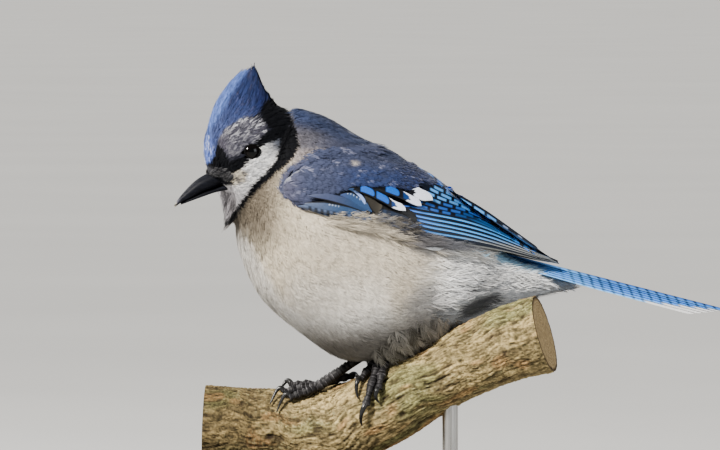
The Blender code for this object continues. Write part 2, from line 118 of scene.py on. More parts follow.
PERCH = (
    (-69.6, 20.0, -91.0, 18.5),
    (-47.8, 19.0, -91.7, 18.5),
    (-26.1, 15.5, -91.0, 18.5),
    (-6.5, 8.5, -89.2, 18.2),
    (12.2, 0.0, -80.4, 17.3),
    (30.4, -6.5, -69.6, 15.9),
    (47.8, -11.0, -60.0, 15.8),
    (65.2, -15.5, -52.6, 16.8),
    (81.7, -19.0, -47.8, 17.8),
)
FEET = {"left": (10.9, 8.0), "right": (-18.5, 27.0)}
TOES = {
    "left": {
        "inner": ((8.0, 6.0), (0.2, 43.0), (1.9, 1.4), (-0.9, 27.0)),
        "middle": ((10.2, 12.0), (2.6, 84.0), (2.1, 1.5), (-1.7, 23.0)),
        "outer": ((12.2, 16.0), (8.2, 71.0), (1.9, 1.45), (0.4, 17.0)),
        "hind": ((14.0, 2.0), (25.0, -7.0), (2.0, 1.5), (4.6, -20.0)),
    },
    "right": {
        "inner": ((-20.0, 32.0), (-31.5, 46.0), (1.9, 1.4), (-5.6, 19.0)),
        "middle": ((-21.0, 26.0), (-34.4, 36.0), (2.1, 1.5), (-5.6, 16.0)),
        "outer": ((-20.5, 20.0), (-31.0, 19.0), (1.9, 1.45), (-4.8, 6.0)),
        "hind": ((-15.0, 18.0), (-3.0, -10.0), (2.0, 1.5), (4.6, -18.0)),
    },
}
SHANKS = {
    "left": ((14.2, -4.6, -52.4), (19.0, -5.0, -44.0), (24.0, -5.0, -34.0)),
    "right": ((-4.4, 4.5, -62.2), (7.5, 8.5, -54.5), (19.0, 12.0, -44.0)),
}
GAP = 0.3
TOE_RISE = 0.3
FOOT_HEIGHT = 2.5
CLAW_ROOT = 1.1
CLAW_TIP = 0.28
TARSUS_RADIUS = 1.95

def paint(name, text, default):
    return FloatVectorProperty(
        name=name, description=text, default=default, size=3, min=0.0, max=1.0, subtype="COLOR"
    )


def length(name, text, default):
    return FloatProperty(name=name, description=text, default=default * MM, min=0.0, unit="LENGTH")


class JayColours(bpy.types.PropertyGroup):
    breast: paint("Breast", "Breast and flanks", (0.66, 0.59, 0.48))
    belly: paint("Belly", "Belly and the feathers under the tail", (0.88, 0.875, 0.86))
    face: paint("Face", "Cheeks and throat", (0.86, 0.85, 0.835))
    crest: paint("Crest", "Crown and crest", (0.038, 0.056, 0.150))
    mantle: paint("Mantle", "Upper back", (0.100, 0.111, 0.176))
    shoulder: paint("Shoulder", "Shoulder feathers", (0.074, 0.087, 0.152))
    azure: paint("Azure", "Bright patches of the barred wing feathers", (0.025, 0.13, 0.50))
    sky: paint("Sky", "Outer webs of the flight feathers", (0.10, 0.41, 1.0))
    tail: paint("Tail", "Outer webs of the tail feathers", (0.075, 0.26, 0.80))
    black: paint("Black", "Necklace, lores and bars", (0.0045, 0.005, 0.0075))
    horn: paint("Bill", "Horn of the bill", (0.010, 0.011, 0.016))
    leg: paint("Legs", "Scales of the legs and toes", (0.019, 0.018, 0.019))
    eye: paint("Eye", "Iris", (0.0045, 0.003, 0.0025))
    bark: paint("Bark", "Bark of the branch", (0.330, 0.262, 0.140))
    walnut: paint("Stand", "Wood of the stand", (0.075, 0.043, 0.024))
    steel: paint("Rods", "Metal of the rods", (0.56, 0.55, 0.53))
    studio: paint("Backdrop", "Floor round the stand", (0.50, 0.50, 0.49))


class JaySizes(bpy.types.PropertyGroup):
    coat_depth: length("Coat depth", "Depth of the coat on the body", 1.5)
    face_depth: length("Face coat depth", "Depth of the coat on the head", 1.0)
    barb_width: length("Barb width", "Width of one barb of the soft coat", 0.44)
    eye_opening: length("Eye opening", "Radius of the opening between the lids", 3.05)
    lid_width: length("Lid width", "Radius of the rim of the lids", 0.26)
    vane_step: length("Vane step", "Height of each wing feather over the one below", 0.075)
    tail_step: length("Tail step", "Height of each tail feather over the one below", 0.62)
    bark_relief: length("Bark relief", "Depth of the furrows in the bark", 0.9)
    spacing: FloatProperty(
        name="Feather spacing", description="Factor on the distance between feather roots",
        default=1.0, min=0.7, max=3.0, subtype="FACTOR",
    )


def shade(name):
    return np.array(getattr(bpy.context.scene.jay_colours, name), float)


def size(name):
    return getattr(bpy.context.scene.jay_sizes, name) / MM


class Upright:
    """The upright middle plane of the head or body: rearward, to the bird's left, and up."""

    def __init__(self, yaw, x, y):
        self.c, self.s = math.cos(math.radians(yaw)), math.sin(math.radians(yaw))
        self.x, self.y = x, y

    def out(self, q):
        q = np.asarray(q, float)
        rear, left, up = q[..., 0], q[..., 1], q[..., 2]
        x = self.x + rear * self.c + left * self.s
        y = self.y + rear * self.s - left * self.c
        return np.stack([x, y, up + DATUM], -1)

    def into(self, p):
        p = np.asarray(p, float)
        x, y = p[..., 0] - self.x, p[..., 1] - self.y
        return np.stack([x * self.c + y * self.s, x * self.s - y * self.c, p[..., 2] - DATUM], -1)

    def turned(self, v):
        """A direction given in the plane's own terms, in world terms."""
        return self.out(v) - self.out((0, 0, 0))


BODY = Upright(13.0, 0.0, 0.0)
SKULL = Upright(20.0, -51.4, -12.0)


def unit(v):
    return v / np.maximum(np.linalg.norm(v, axis=-1, keepdims=True), 1e-9)


def smooth(low, high, x):
    t = np.clip((np.asarray(x, float) - low) / (high - low), 0.0, 1.0)
    return t * t * (3 - 2 * t)


def mix(a, b, t):
    t = np.asarray(t, float)
    return np.asarray(a, float) * (1 - t[..., None]) + np.asarray(b, float) * t[..., None]


def eased(table, count):
    rows = np.array(table, float)
    padded = np.vstack([2 * rows[0] - rows[1], rows, 2 * rows[-1] - rows[-2]])
    found = []
    for x in np.linspace(0.0, len(rows) - 1.0, count):
        i = min(int(x), len(rows) - 2)
        t = x - i
        a, b, c, d = padded[i : i + 4]
        found.append(
            0.5 * (2 * b + (c - a) * t + (2 * a - 5 * b + 4 * c - d) * t**2
                   + (3 * b - a - 3 * c + d) * t**3)
        )
    return np.array(found)


def oval_rings(plane, table, count, sides, fullness=2.0, grow=0.0):
    """Rings of points through a table of top point, bottom point and half width."""
    turn = np.linspace(0, 2 * math.pi, sides, endpoint=False)
    c, s = np.cos(turn), np.sin(turn)
    c, s = (np.sign(a) * np.abs(a) ** (2 / fullness) for a in (c, s))
    rings = []
    for row in eased(table, count):
        top, bottom = row[0:2], row[2:4]
        middle, arm = (top + bottom) / 2, (top - bottom) / 2
        arm = arm * (1 + grow / np.linalg.norm(arm))
        side = middle + arm * c[:, None]
        rings.append(plane.out(np.stack([side[:, 0], s * (row[4] + grow), side[:, 1]], -1)))
    return np.array(rings)


def crest_rings(count, sides):
    turn = np.linspace(0, 2 * math.pi, sides, endpoint=False)
    rings = []
    for up, front, back, half in eased(CREST, count):
        rear = (front + back) / 2 + (back - front) / 2 * np.cos(turn)
        rings.append(SKULL.out(np.stack([rear, half * np.sin(turn), np.full(sides, up)], -1)))
    return np.array(rings)


def ring_faces(count, sides):
    i, j = np.meshgrid(np.arange(count - 1), np.arange(sides), indexing="ij")
    k = (j + 1) % sides
    return np.stack([i * sides + j, i * sides + k, (i + 1) * sides + k, (i + 1) * sides + j], -1)


# Meshes from arrays


def build_mesh(name, points, quads=(), tris=(), tint=None, uv=None, finish=None, normals=None):
    """A new object from points in millimetres and faces of four and three corners."""
    quads = np.asarray(quads, np.int32).reshape(-1, 4)
    tris = np.asarray(tris, np.int32).reshape(-1, 3)
    corners = np.concatenate([quads.ravel(), tris.ravel()])
    total = np.concatenate([np.full(len(quads), 4), np.full(len(tris), 3)])
    mesh = bpy.data.meshes.new(name)
    mesh.vertices.add(len(points))
    mesh.vertices.foreach_set("co", (np.asarray(points, np.float32) * MM).ravel())
    mesh.loops.add(len(corners))
    mesh.loops.foreach_set("vertex_index", corners.astype(np.int32))
    mesh.polygons.add(len(total))
    starts = np.concatenate([[0], np.cumsum(total)[:-1]]).astype(np.int32)
    mesh.polygons.foreach_set("loop_start", starts)
    mesh.update(calc_edges=True)
    if tint is not None:
        layer = mesh.color_attributes.new("tint", "FLOAT_COLOR", "POINT")
        rgba = np.ones((len(points), 4), np.float32)
        rgba[:, :3] = np.clip(tint, 0, 1)
        layer.data.foreach_set("color", rgba.ravel())
    if uv is not None:
        layer = mesh.uv_layers.new(name="OFBake")
        layer.data.foreach_set("uv", np.asarray(uv, np.float32)[corners].ravel())
    mesh.shade_smooth()
    if normals is not None:
        mesh.normals_split_custom_set_from_vertices(normals.astype(np.float32))
    made = bpy.data.objects.new(name, mesh)
    bpy.context.scene.collection.objects.link(made)
    if finish:
        mesh.materials.append(finish)
    return made


def declare(made, slot, *nodes):
    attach(made, "root")
    if nodes:
        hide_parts(*nodes)
    return made


def points_of(mesh):
    flat = np.empty(len(mesh.vertices) * 3, np.float32)
    mesh.vertices.foreach_get("co", flat)
    return flat.reshape(-1, 3).astype(float) / MM


def normals_of(mesh):
    flat = np.empty(len(mesh.vertices) * 3, np.float32)
    mesh.vertices.foreach_get("normal", flat)
    return flat.reshape(-1, 3).astype(float)


def parted(faces):
    """Faces of four corners and faces of three corners, apart."""
    return [f for f in faces if len(f) == 4], [f for f in faces if len(f) == 3]


def value_noise(places, scale, seed=0):
    """Smooth noise from -1 to 1 at places, by hashing the corners of a lattice."""
    p = places * scale + seed * 17.31
    low = np.floor(p).astype(np.int64)
    f = p - low
    f = f * f * (3 - 2 * f)
    total = np.zeros(p.shape[:-1])
    for corner in range(8):
        step = np.array([corner & 1, corner >> 1 & 1, corner >> 2 & 1])
        i = (low + step) & 0xFFFF
        h = (i[..., 0] * 73856093) ^ (i[..., 1] * 19349663) ^ (i[..., 2] * 83492791)
        h = (h ^ (h >> 13)) * 1274126177 & 0x7FFFFFFF
        h = (h ^ (h >> 16)) & 0xFFFF
        weight = np.prod(np.where(step == 1, f, 1 - f), -1)
        total += weight * (h / 32767.5 - 1)
    return total


# Surfaces that feathers are laid on


class Surface:
    """A closed surface in millimetres that points can be dropped onto."""

    def __init__(self, points, faces):
        self.points = points
        self.faces = faces
        self.tree = BVHTree.FromPolygons(points.tolist(), [list(f) for f in faces])

    def nearest(self, places):
        spots, normals = np.empty_like(places), np.empty_like(places)
        for i, p in enumerate(places):
            spot, normal, _, _ = self.tree.find_nearest(p)
            spots[i], normals[i] = spot, normal
        return spots, normals

    def seen(self, x, z):
        """Where a line along +Y at X and height Z meets the surface, or passes beside it."""
        spots, normals = [], []
        for a, b in zip(x, z):
            spot, normal, _, _ = self.tree.ray_cast((a, -200.0, b), (0, 1, 0))
            if spot is None:
                depth = -20.0
                for _ in range(5):
                    near, normal, _, _ = self.tree.find_nearest((a, depth, b))
                    depth = near[1]
                spot = (a, depth, b)
            spots.append(tuple(spot))
            normals.append(tuple(normal))
        return np.array(spots), np.array(normals)


def modified(mesh, steps):
    """The mesh after modifiers given as (kind, settings)."""
    holder = bpy.data.objects.new("holder", mesh)
    bpy.context.scene.collection.objects.link(holder)
    for kind, settings in steps:
        step = holder.modifiers.new(kind.lower(), kind)
        for key, value in settings.items():
            setattr(step, key, value)
    bpy.context.view_layer.update()
    graph = bpy.context.evaluated_depsgraph_get()
    made = bpy.data.meshes.new_from_object(holder.evaluated_get(graph))
    bpy.data.objects.remove(holder)
    return made


def faces_of(mesh):
    return [tuple(p.vertices) for p in mesh.polygons]


STORE = {}


def body_surface():
    """The outline of trunk, neck, head and crest out to the feather tips, as one surface."""
    if "body" in STORE:
        return STORE["body"]
    lofts = (
        oval_rings(BODY, TRUNK, 40, 48, 2.15),
        oval_rings(SKULL, HEAD, 26, 40),
        crest_rings(24, 32),
    )
    bm = bmesh.new()
    for rings in lofts:
        rows = [[bm.verts.new(p * MM) for p in ring] for ring in rings]
        for low, high in zip(rows, rows[1:]):
            for i, corner in enumerate(low):
                j = (i + 1) % len(low)
                bm.faces.new((corner, low[j], high[j], high[i]))
        bm.faces.new(rows[0])
        bm.faces.new(rows[-1])
    bmesh.ops.recalc_face_normals(bm, faces=bm.faces)
    mesh = bpy.data.meshes.new("outline")
    bm.to_mesh(mesh)
    bm.free()
    steps = (
        ("REMESH", {"mode": "VOXEL", "voxel_size": 1.0 * MM}),
        ("SMOOTH", {"factor": 0.5, "iterations": 12}),
    )
    made = modified(mesh, steps)
    STORE["body mesh"] = made
    STORE["body"] = Surface(points_of(made), faces_of(made))
    return STORE["body"]


def flow_field():
    """Samples of which way feathers lie: along each loft from its first ring to its last."""
    if "flow" in STORE:
        return STORE["flow"]
    places, ways = [], []
    for rings in (oval_rings(BODY, TRUNK, 46, 40, 2.15), oval_rings(SKULL, HEAD, 24, 32)):
        places.append(rings.reshape(-1, 3))
        ways.append(unit(np.gradient(rings, axis=0)).reshape(-1, 3))
    crest = crest_rings(20, 24)
    own = SKULL.into(crest)
    middle, reach = own[..., 0].mean(1, keepdims=True), own[..., 0].max(1) - own[..., 0].min(1)
    part = np.clip((own[..., 0] - middle) / reach[:, None] + 0.5, 0, 1)
    slope = np.gradient(own[..., 0].min(1), own[..., 2].mean(1))
    lean = mix(np.clip(slope, 0.1, 0.75)[:, None, None], 0.12, part)[..., 0]
    way = SKULL.turned(np.stack([lean, np.zeros_like(lean), np.ones_like(lean)], -1))
    places.append(crest[2:].reshape(-1, 3))
    ways.append(unit(way)[2:].reshape(-1, 3))
    places, ways = np.vstack(places), np.vstack(ways)
    tree = kdtree.KDTree(len(places))
    for i, p in enumerate(places):
        tree.insert(p, i)
    tree.balance()
    STORE["flow"] = tree, ways
    return STORE["flow"]


def flow_at(places, normals):
    tree, ways = flow_field()
    found = np.empty_like(places)
    for i, p in enumerate(places):
        total = np.zeros(3)
        for _, j, far in tree.find_n(p, 7):
            total += ways[j] / (far + 1.0)
        found[i] = total
    found -= normals * np.sum(found * normals, -1, keepdims=True)
    return unit(found)


# Markings, with painted shade and painted light, as functions of where a feather is seen in a square side view


def seen_at(places, plane):
    """Side-view place of points mirrored to the bird's left: across and down, in view units."""
    q = plane.into(places)
    q[..., 1] = np.abs(q[..., 1])
    w = plane.out(q)
    return VIEW_CENTRE[0] + PIXELS * w[..., 0], VIEW_CENTRE[1] - PIXELS * (w[..., 2] - DATUM)


def within(x, y, outline, soft=2.0):
    """1 inside an outline, 0 outside, with a soft edge of the given width."""
    ring = np.array(outline, float)
    nearest = np.full(x.shape, 1e9)
    inside = np.zeros(x.shape, bool)
    for (ax, ay), (bx, by) in zip(ring, np.roll(ring, -1, 0)):
        dx, dy = bx - ax, by - ay
        t = np.clip(((x - ax) * dx + (y - ay) * dy) / (dx * dx + dy * dy + 1e-9), 0, 1)
        nearest = np.minimum(nearest, np.hypot(x - ax - t * dx, y - ay - t * dy))
        crosses = (ay > y) != (by > y)
        at = ax + (y - ay) * dx / (dy if abs(dy) > 1e-9 else 1e-9)
        inside ^= crosses & (x < at)
    return smooth(-soft, soft, np.where(inside, nearest, -nearest))


BLUE_CAP = (
    (180, 175), (205, 167), (211, 164), (214, 156), (217, 146), (219, 137), (226, 127),
    (234, 121), (246, 115), (256, 113), (263, 109), (268, 104), (268, 98), (276, 91), (285, 84),
    (285, 40), (180, 40),
)
PALE_FRONT = ((196, 172), (211, 165), (215, 154), (214, 140), (207, 132), (196, 130))
BROW_PATCH = (
    (219, 134), (224, 128), (231, 122), (242, 117), (252, 115), (262, 117), (267, 123), (268, 131),
    (263, 138), (255, 142), (246, 146), (240, 153), (233, 156), (227, 150), (221, 143),
)
LORES = (
    (204, 163), (211, 160), (216, 153), (217, 145), (221, 142), (225, 147), (228, 154), (234, 159),
    (241, 156), (248, 154), (251, 158), (247, 164), (241, 168.5), (233, 171), (222, 170.5),
    (212, 167),
)
EYE_LINE = ((257, 140), (258, 145), (263, 145.5), (270, 141), (279, 138), (282, 128), (270, 129))
NAPE_BAND = (
    (263, 104), (268, 97), (276, 90), (290, 97), (290, 106), (291.5, 116), (295, 124), (297.5, 130),
    (300.5, 144), (294, 156), (288, 163), (277, 171.5), (264, 183), (253, 194), (244, 206),
    (236, 218), (228, 226), (223, 223), (229, 218), (240, 203.5), (251, 188), (260, 177.5),
    (270, 167), (277, 158), (280, 147), (281, 139), (276, 131), (268, 124), (263, 115),
    (262, 109),
)
NASAL = (
    (196, 180), (196, 163), (205, 164), (212, 164.5), (222, 166), (230, 171), (229, 173.5), (224, 175),
    (215, 177), (206, 180),
)
BILL_BASE = (
    (205, 179), (215, 176.5), (229, 172), (231, 176), (228, 179.5), (235, 181), (231, 183.5),
    (222, 187.5), (216, 190.5), (208, 190),
)
HEAD_FILL = (
    (205, 165), (211, 140), (230, 118), (262, 100), (290, 106), (297, 130), (300, 144), (277, 171),
    (268, 150), (262, 140), (250, 158), (230, 171), (212, 168),
)
GAPE_TUFT = ((231, 171), (238, 167), (250, 169), (247, 180), (236, 184), (227, 183))
CHEEK = (
    (196, 165), (215, 166), (245, 165), (258, 146), (262, 138), (292, 132), (292, 150),
    (277, 166), (262, 180), (250, 194), (241, 207), (232, 220), (226, 229), (196, 232),
)
MANTLE_AREA = (
    (286, 90), (294, 124), (299.5, 144), (295, 157), (304, 159), (325, 156), (345, 160),
    (400, 190), (470, 240), (540, 262), (600, 280), (600, 200), (420, 120), (330, 90),
)
HACKLE = ((294, 149), (303, 148), (345, 149), (330, 158), (306, 161), (288, 162))
UNDER_TAIL = (
    (425, 268), (445, 245), (470, 248), (480, 257), (503, 264), (530, 271), (580, 283), (620, 293),
    (620, 340), (420, 340), (415, 300),
)
RUMP_AREA = (
    (440, 238), (470, 245), (482, 254), (503, 263), (530, 270), (560, 277), (600, 286),
    (600, 200), (440, 180),
)
# Outlines of painted shade: the flank's shadow on the vent, the wing's shadow on the flank below its edge, the fold
# between belly and flank, and the dark gap between vent and branch
VENT_SHADOW = ((484, 277), (494, 271), (506, 273), (503, 288), (490, 302), (470, 310), (474, 292))
WING_SHADOW_ON_FLANK = ((412, 236), (430, 235), (450, 239), (480, 246), (478, 253), (450, 251), (428, 254), (412, 248))
BELLY_FOLD_SHADOW = ((406, 300), (420, 284), (440, 282), (452, 296), (446, 312), (430, 322), (410, 322))
VENT_GAP_SHADOW = ((462, 305), (480, 297), (500, 292), (506, 300), (480, 313), (462, 318))
SHOULDER_FRONT = ((279, 187), (283, 174), (289, 165), (300, 158), (330, 155), (330, 190), (300, 200), (286, 197))


def markings_and_painted_light(places, random, own):
    """The coat's colour at each place on the body: its markings, with painted shade and painted light in some places.
    Own is a chance number for each feather.
    """
    head_x, head_y = seen_at(places, SKULL)
    body_x, body_y = seen_at(places, BODY)
    rear = SKULL.into(places)
    on_head = smooth(30.0, 20.0, rear[..., 0]) * smooth(-8.0, 2.0, rear[..., 2])
    x = head_x * on_head + body_x * (1 - on_head) + random.normal(0, 0.7, body_x.shape)
    y = head_y * on_head + body_y * (1 - on_head) + random.normal(0, 0.7, body_x.shape)
    breast, belly, black = shade("breast"), shade("belly"), shade("black")
    grey = np.array((0.50, 0.49, 0.50))

    warm = smooth(330, 250, x) * smooth(300, 215, y)
    tint = mix(breast, breast * (1.04, 1.03, 0.97), warm)
    # Painted shadow of the head and bill on the upper breast, in two steps
    chest_shadow = smooth(310, 262, x) * smooth(262, 222, y)
    tint = mix(tint, breast * (0.42, 0.40, 0.38), chest_shadow)
    tint = tint * (1 - 0.36 * smooth(284, 254, x) * smooth(276, 240, y))[..., None]
    tint = mix(tint, belly, smooth(258, 296, y) * smooth(400, 380, x) * smooth(276, 300, x) * 0.38)
    tint = mix(tint, belly, smooth(292, 340, y + 0.05 * np.abs(x - 350)) * 0.75)
    edge = x - (233 + np.clip(y - 235, 0, 200) * 0.60 + np.clip(y - 300, 0, 99) * 0.5)
    tint = mix(tint, belly * 0.93, smooth(20, 4, edge) * smooth(226, 250, y) * 0.6)
    tint = mix(tint, belly * 1.06, smooth(410, 465, x + 0.35 * (y - 270)) * smooth(236, 256, y))
    # Painted shade and painted shadow in the outlines above, laid over the coat's own colour
    tint = mix(tint, grey * 0.6, within(x, y, VENT_SHADOW, 5) * 0.40)
    tint = mix(tint, grey * 0.55, within(x, y, WING_SHADOW_ON_FLANK, 5) * 0.75)
    tint = mix(tint, grey * 0.60, within(x, y, BELLY_FOLD_SHADOW, 8) * 0.60)
    tint = mix(tint, grey * 0.10, within(x, y, VENT_GAP_SHADOW, 3) * 0.80)
    tint = mix(tint, shade("shoulder") * 1.2, within(x, y, SHOULDER_FRONT, 2))
    # Darker underside of the belly: partly its greyer feathers, mostly painted shade
    low = smooth(305, 348, y + 0.16 * (x - 350)) * smooth(268, 300, x) * smooth(470, 430, x)
    tint = mix(tint, (0.11, 0.10, 0.085), low * 0.88)
    mantle = shade("mantle")
    back = mix(mantle * 0.72, (0.155, 0.148, 0.165), smooth(345, 300, x) * smooth(120, 136, y) * 0.9)
    blue = smooth(127, 112, y - np.clip(x - 300, 0, 300) * 0.42)
    back = mix(back, (0.066, 0.092, 0.19), blue * 0.8)
    back = back * (1 - 0.28 * smooth(304, 318, x) * smooth(348, 336, x) * smooth(142, 130, y))[..., None]
    back = mix(back, (0.40, 0.41, 0.48), smooth(0.93, 0.99, own) * smooth(330, 360, x) * 0.6)
    tint = mix(tint, back, within(x, y, MANTLE_AREA, 3.0))
    tint = mix(tint, (0.42, 0.37, 0.35), within(x, y, HACKLE, 3) * 0.6)
    # The rump's blue, painted lighter to make up for the shadow of the wing tips: partly real colour, partly painted
    # light
    lit_rump = mix((0.44, 0.72, 0.93), (0.84, 0.88, 0.93), smooth(0.7, 0.9, own) * 0.8)
    tint = mix(tint, lit_rump, within(x, y, RUMP_AREA, 4))

    tint = mix(tint, (0.022, 0.023, 0.035), on_head * within(x, y, HEAD_FILL, 2))
    face = shade("face")
    cheek = mix(face * 1.08, face * (0.80, 0.81, 0.84), smooth(0.15, 0.9, own))
    # left marks the front of the throat under the bill; its darker grey below is painted shade
    left = smooth(180, 196, y) * smooth(246, 230, x)
    cheek = mix(cheek, (0.60, 0.585, 0.61), smooth(176, 196, y) * 0.8)
    cheek = mix(cheek, (0.40, 0.375, 0.40), left * 0.75)
    cheek = mix(cheek, (0.12, 0.13, 0.16), smooth(261, 280, x) * smooth(162, 142, y))
    tint = mix(tint, cheek, on_head * within(x, y, CHEEK, 3))
    fluff = mix((0.52, 0.46, 0.35), (0.10, 0.085, 0.07), smooth(0.50, 0.80, own))
    tint = mix(tint, fluff, within(x, y, GAPE_TUFT, 2.5) * 0.85)
    upper = smooth(140, 119, y - (x - 240) * 0.10)
    pale = smooth(0.35, 0.9, own) * (0.25 + 0.75 * upper)
    brow = mix((0.052, 0.050, 0.072), (0.68, 0.68, 0.72), 0.05 + 0.80 * pale)
    low_left = smooth(236, 224, x) * smooth(128, 140, y)
    brow = mix(brow, (0.09, 0.083, 0.11), low_left * 0.7)
    tint = mix(tint, brow, within(x, y, BROW_PATCH, 2.2))
    crest = shade("crest")
    cap = mix(crest, crest * (1.9, 1.6, 1.35), smooth(0.60, 0.95, own) * 0.7)
    cap = mix(cap, crest * (1.9, 1.25, 0.75), smooth(0.34, 0.05, own) * 0.7)
    cap = mix(cap, crest * (1.9, 1.75, 1.5), smooth(96, 120, y) * 0.75)
    front = x - (205 + np.clip(130 - y, 0, 70) * 0.62)
    cap = mix(cap, (0.15, 0.235, 0.56), smooth(9, 1, front) * 0.78)
    cap = mix(cap, crest * (0.45, 0.5, 0.7), smooth(250, 262, x) * smooth(80, 92, y) * 0.7)
    brow_front = within(x, y, PALE_FRONT, 4)
    cap = mix(cap, (0.15, 0.22, 0.58), brow_front * (0.45 + 0.55 * smooth(0.2, 0.8, own)))
    cap = mix(cap, (0.68, 0.74, 0.92), brow_front * smooth(0.70, 0.90, own) * 0.85)
    tint = mix(tint, cap, within(x, y, BLUE_CAP, 1.6))
    for outline, soft in ((LORES, 1.0), (EYE_LINE, 0.8), (NAPE_BAND, 1.1)):
        tint = mix(tint, black, within(x, y, outline, soft))
    tint = mix(tint, (0.045, 0.045, 0.052), within(x, y, NASAL, 1.0) * on_head)
    tint = mix(tint, shade("horn"), within(x, y, BILL_BASE, 0.8) * on_head)
    return np.clip(tint, 0.004, 0.94)


# Materials


def node_setup(name):
    made = bpy.data.materials.new(name)
    made.use_nodes = True
    tree = made.node_tree
    return made, tree, tree.nodes["Principled BSDF"]


def put(socket, value, tree):
    if hasattr(value, "links"):
        tree.links.new(value, socket)
    else:
        socket.default_value = value


def add_node(tree, kind, inputs=None, **settings):
    node = tree.nodes.new(kind)
    for key, value in settings.items():
        setattr(node, key, value)
    for key, value in (inputs or {}).items():
        put(node.inputs[key], value, tree)
    return node


def ramp(tree, value, stops):
    node = add_node(tree, "ShaderNodeValToRGB", {"Fac": value})
    row = node.color_ramp.elements
    while len(row) < len(stops):
        row.new(0.5)
    for element, (place, colour) in zip(row, stops):
        element.position = place
        element.color = (*colour, 1.0)
    return node.outputs["Color"]


def multiplied(tree, a, b):
    node = add_node(tree, "ShaderNodeMix", data_type="RGBA", blend_type="MULTIPLY")
    for key, value in ((0, 1.0), (6, a), (7, b)):
        put(node.inputs[key], value, tree)
    return node.outputs[2]


def texture(tree, scale, detail=3.0, stretch=(1.0, 1.0, 1.0)):
    """Noise over the object's own places, stretched along the axes."""
    place = add_node(tree, "ShaderNodeTexCoord").outputs["Object"]
    place = add_node(tree, "ShaderNodeMapping", {"Vector": place, "Scale": stretch}).outputs[0]
    noise = add_node(tree, "ShaderNodeTexNoise", {"Vector": place, "Scale": scale, "Detail": detail})
    return noise.outputs["Fac"]


def tinted_material(name, grain, low, high, roughness, bump=0.0, **constants):
    """The mesh's own tint, broken up by fine grain, with an optional bump from the grain."""
    made, tree, shader = node_setup(name)
    tint = add_node(tree, "ShaderNodeAttribute", attribute_name="tint").outputs["Color"]
    fine = texture(tree, *grain)
    shading = ramp(tree, fine, ((0.3, (low,) * 3), (0.7, (high,) * 3)))
    put(shader.inputs["Base Color"], multiplied(tree, tint, shading), tree)
    low_rough, high_rough = roughness
    rough = add_node(tree, "ShaderNodeMapRange", {"Value": fine, "To Min": low_rough, "To Max": high_rough})
    put(shader.inputs["Roughness"], rough.outputs[0], tree)
    if bump:
        relief = add_node(tree, "ShaderNodeBump", {"Height": fine, "Strength": 0.6, "Distance": bump * MM})
        put(shader.inputs["Normal"], relief.outputs[0], tree)
    for key, value in constants.items():
        shader.inputs[key.replace("_", " ")].default_value = value
    return made


def plume_material(name, **constants):
    settings = {"Sheen_Weight": 0.07, "Sheen_Roughness": 0.5, "Specular_IOR_Level": 0.24, **constants}
    return tinted_material(name, (900.0, 3.0), 0.86, 1.08, (0.62, 0.78), **settings)


# Feathers whose barbs are modelled one by one


def scattered(surface, spacing, keep, random):
    """Places spread over a surface, at least the given distance apart where keep allows."""
    spacing = spacing * bpy.context.scene.jay_sizes.spacing
    tris = np.array([(f[0], f[k], f[k + 1]) for f in surface.faces for k in range(1, len(f) - 1)])
    a, b, c = (surface.points[tris[:, k]] for k in range(3))
    area = np.linalg.norm(np.cross(b - a, c - a), axis=1) / 2
    count = int(area.sum() / spacing**2 * 7)
    pick = random.choice(len(tris), count, p=area / area.sum())
    u, v = random.random(count), random.random(count)
    u, v = np.where(u + v > 1, 1 - u, u), np.where(u + v > 1, 1 - v, v)
    spots = a[pick] + (b - a)[pick] * u[:, None] + (c - a)[pick] * v[:, None]
    spots = spots[keep(spots)]
    around = [(i, j, k) for i in (-1, 0, 1) for j in (-1, 0, 1) for k in (-1, 0, 1)]
    cells, kept = {}, []
    for index, spot in enumerate(spots.tolist()):
        i, j, k = (int(value // spacing) for value in spot)
        others = [p for di, dj, dk in around for p in cells.get((i + di, j + dj, k + dk), ())]
        if all(math.dist(p, spot) > spacing for p in others):
            cells.setdefault((i, j, k), []).append(spot)
            kept.append(index)
    return spots[kept]


def marched(surface, roots, length, flow, turn, nodes=5, cling=1.0):
    """Each feather's shaft over the surface: places, normals and sideways directions."""
    place, normal = surface.nearest(roots)
    track, normals, across = [], [], []
    way = None
    for k in range(nodes):
        ahead = flow(place, normal)
        ahead = unit(ahead + np.cross(normal, ahead) * turn[:, None])
        way = ahead if way is None else unit(way * 0.35 + ahead * 0.65)
        track.append(place)
        normals.append(normal)
        across.append(unit(np.cross(normal, way)))
        if k < nodes - 1:
            onward = place + way * (length / (nodes - 1))[:, None]
            spot, found = surface.nearest(onward)
            place = onward + (spot - onward) * cling
            normal = unit(normal + (found - normal) * cling)
    return np.stack(track, 1), np.stack(normals, 1), np.stack(across, 1)


# How the feathers of a coat are made: all lengths in millimetres, the rest as parts of one.
PLUME = {
    "length": 13.0, "half_width": 3.6, "barbs": 30, "wide": 0.9, "depth": 1.3, "lift": 0.15,
    "cup": 0.2, "fuzz": 0.12, "ragged": 0.07, "reach": 0.42, "base": 0.30, "blunt": 1.0,
    # shade: how strongly each barb is darkened towards its root, as painted shade
    "rise": 0.7, "shade": 0.22, "barb_tone": 0.05, "feather_tone": 0.03, "bend": 0.35,
    "nodes": 5, "wobble": 0.08, "cling": 1.0, "eye_room": 0.35, "raise": 0.0,
}
BARB_STEPS = np.array([0.0, 0.42, 0.76, 1.0])
BARB_WIDTHS = np.array([0.75, 1.0, 0.72, 0.0])
# Painted shade darkening each barb towards its root, where other barbs cover it, and a slightly lighter tip as painted
# light
BARB_ROOT_SHADE = np.array([0.45, 0.82, 1.0, 0.45, 0.82, 1.0, 1.05])
BARB_PATCH = np.array([[0, 0], [0, 0.5], [0, 0.9], [1, 0], [1, 0.5], [1, 0.9], [0.5, 1]]) * 0.003


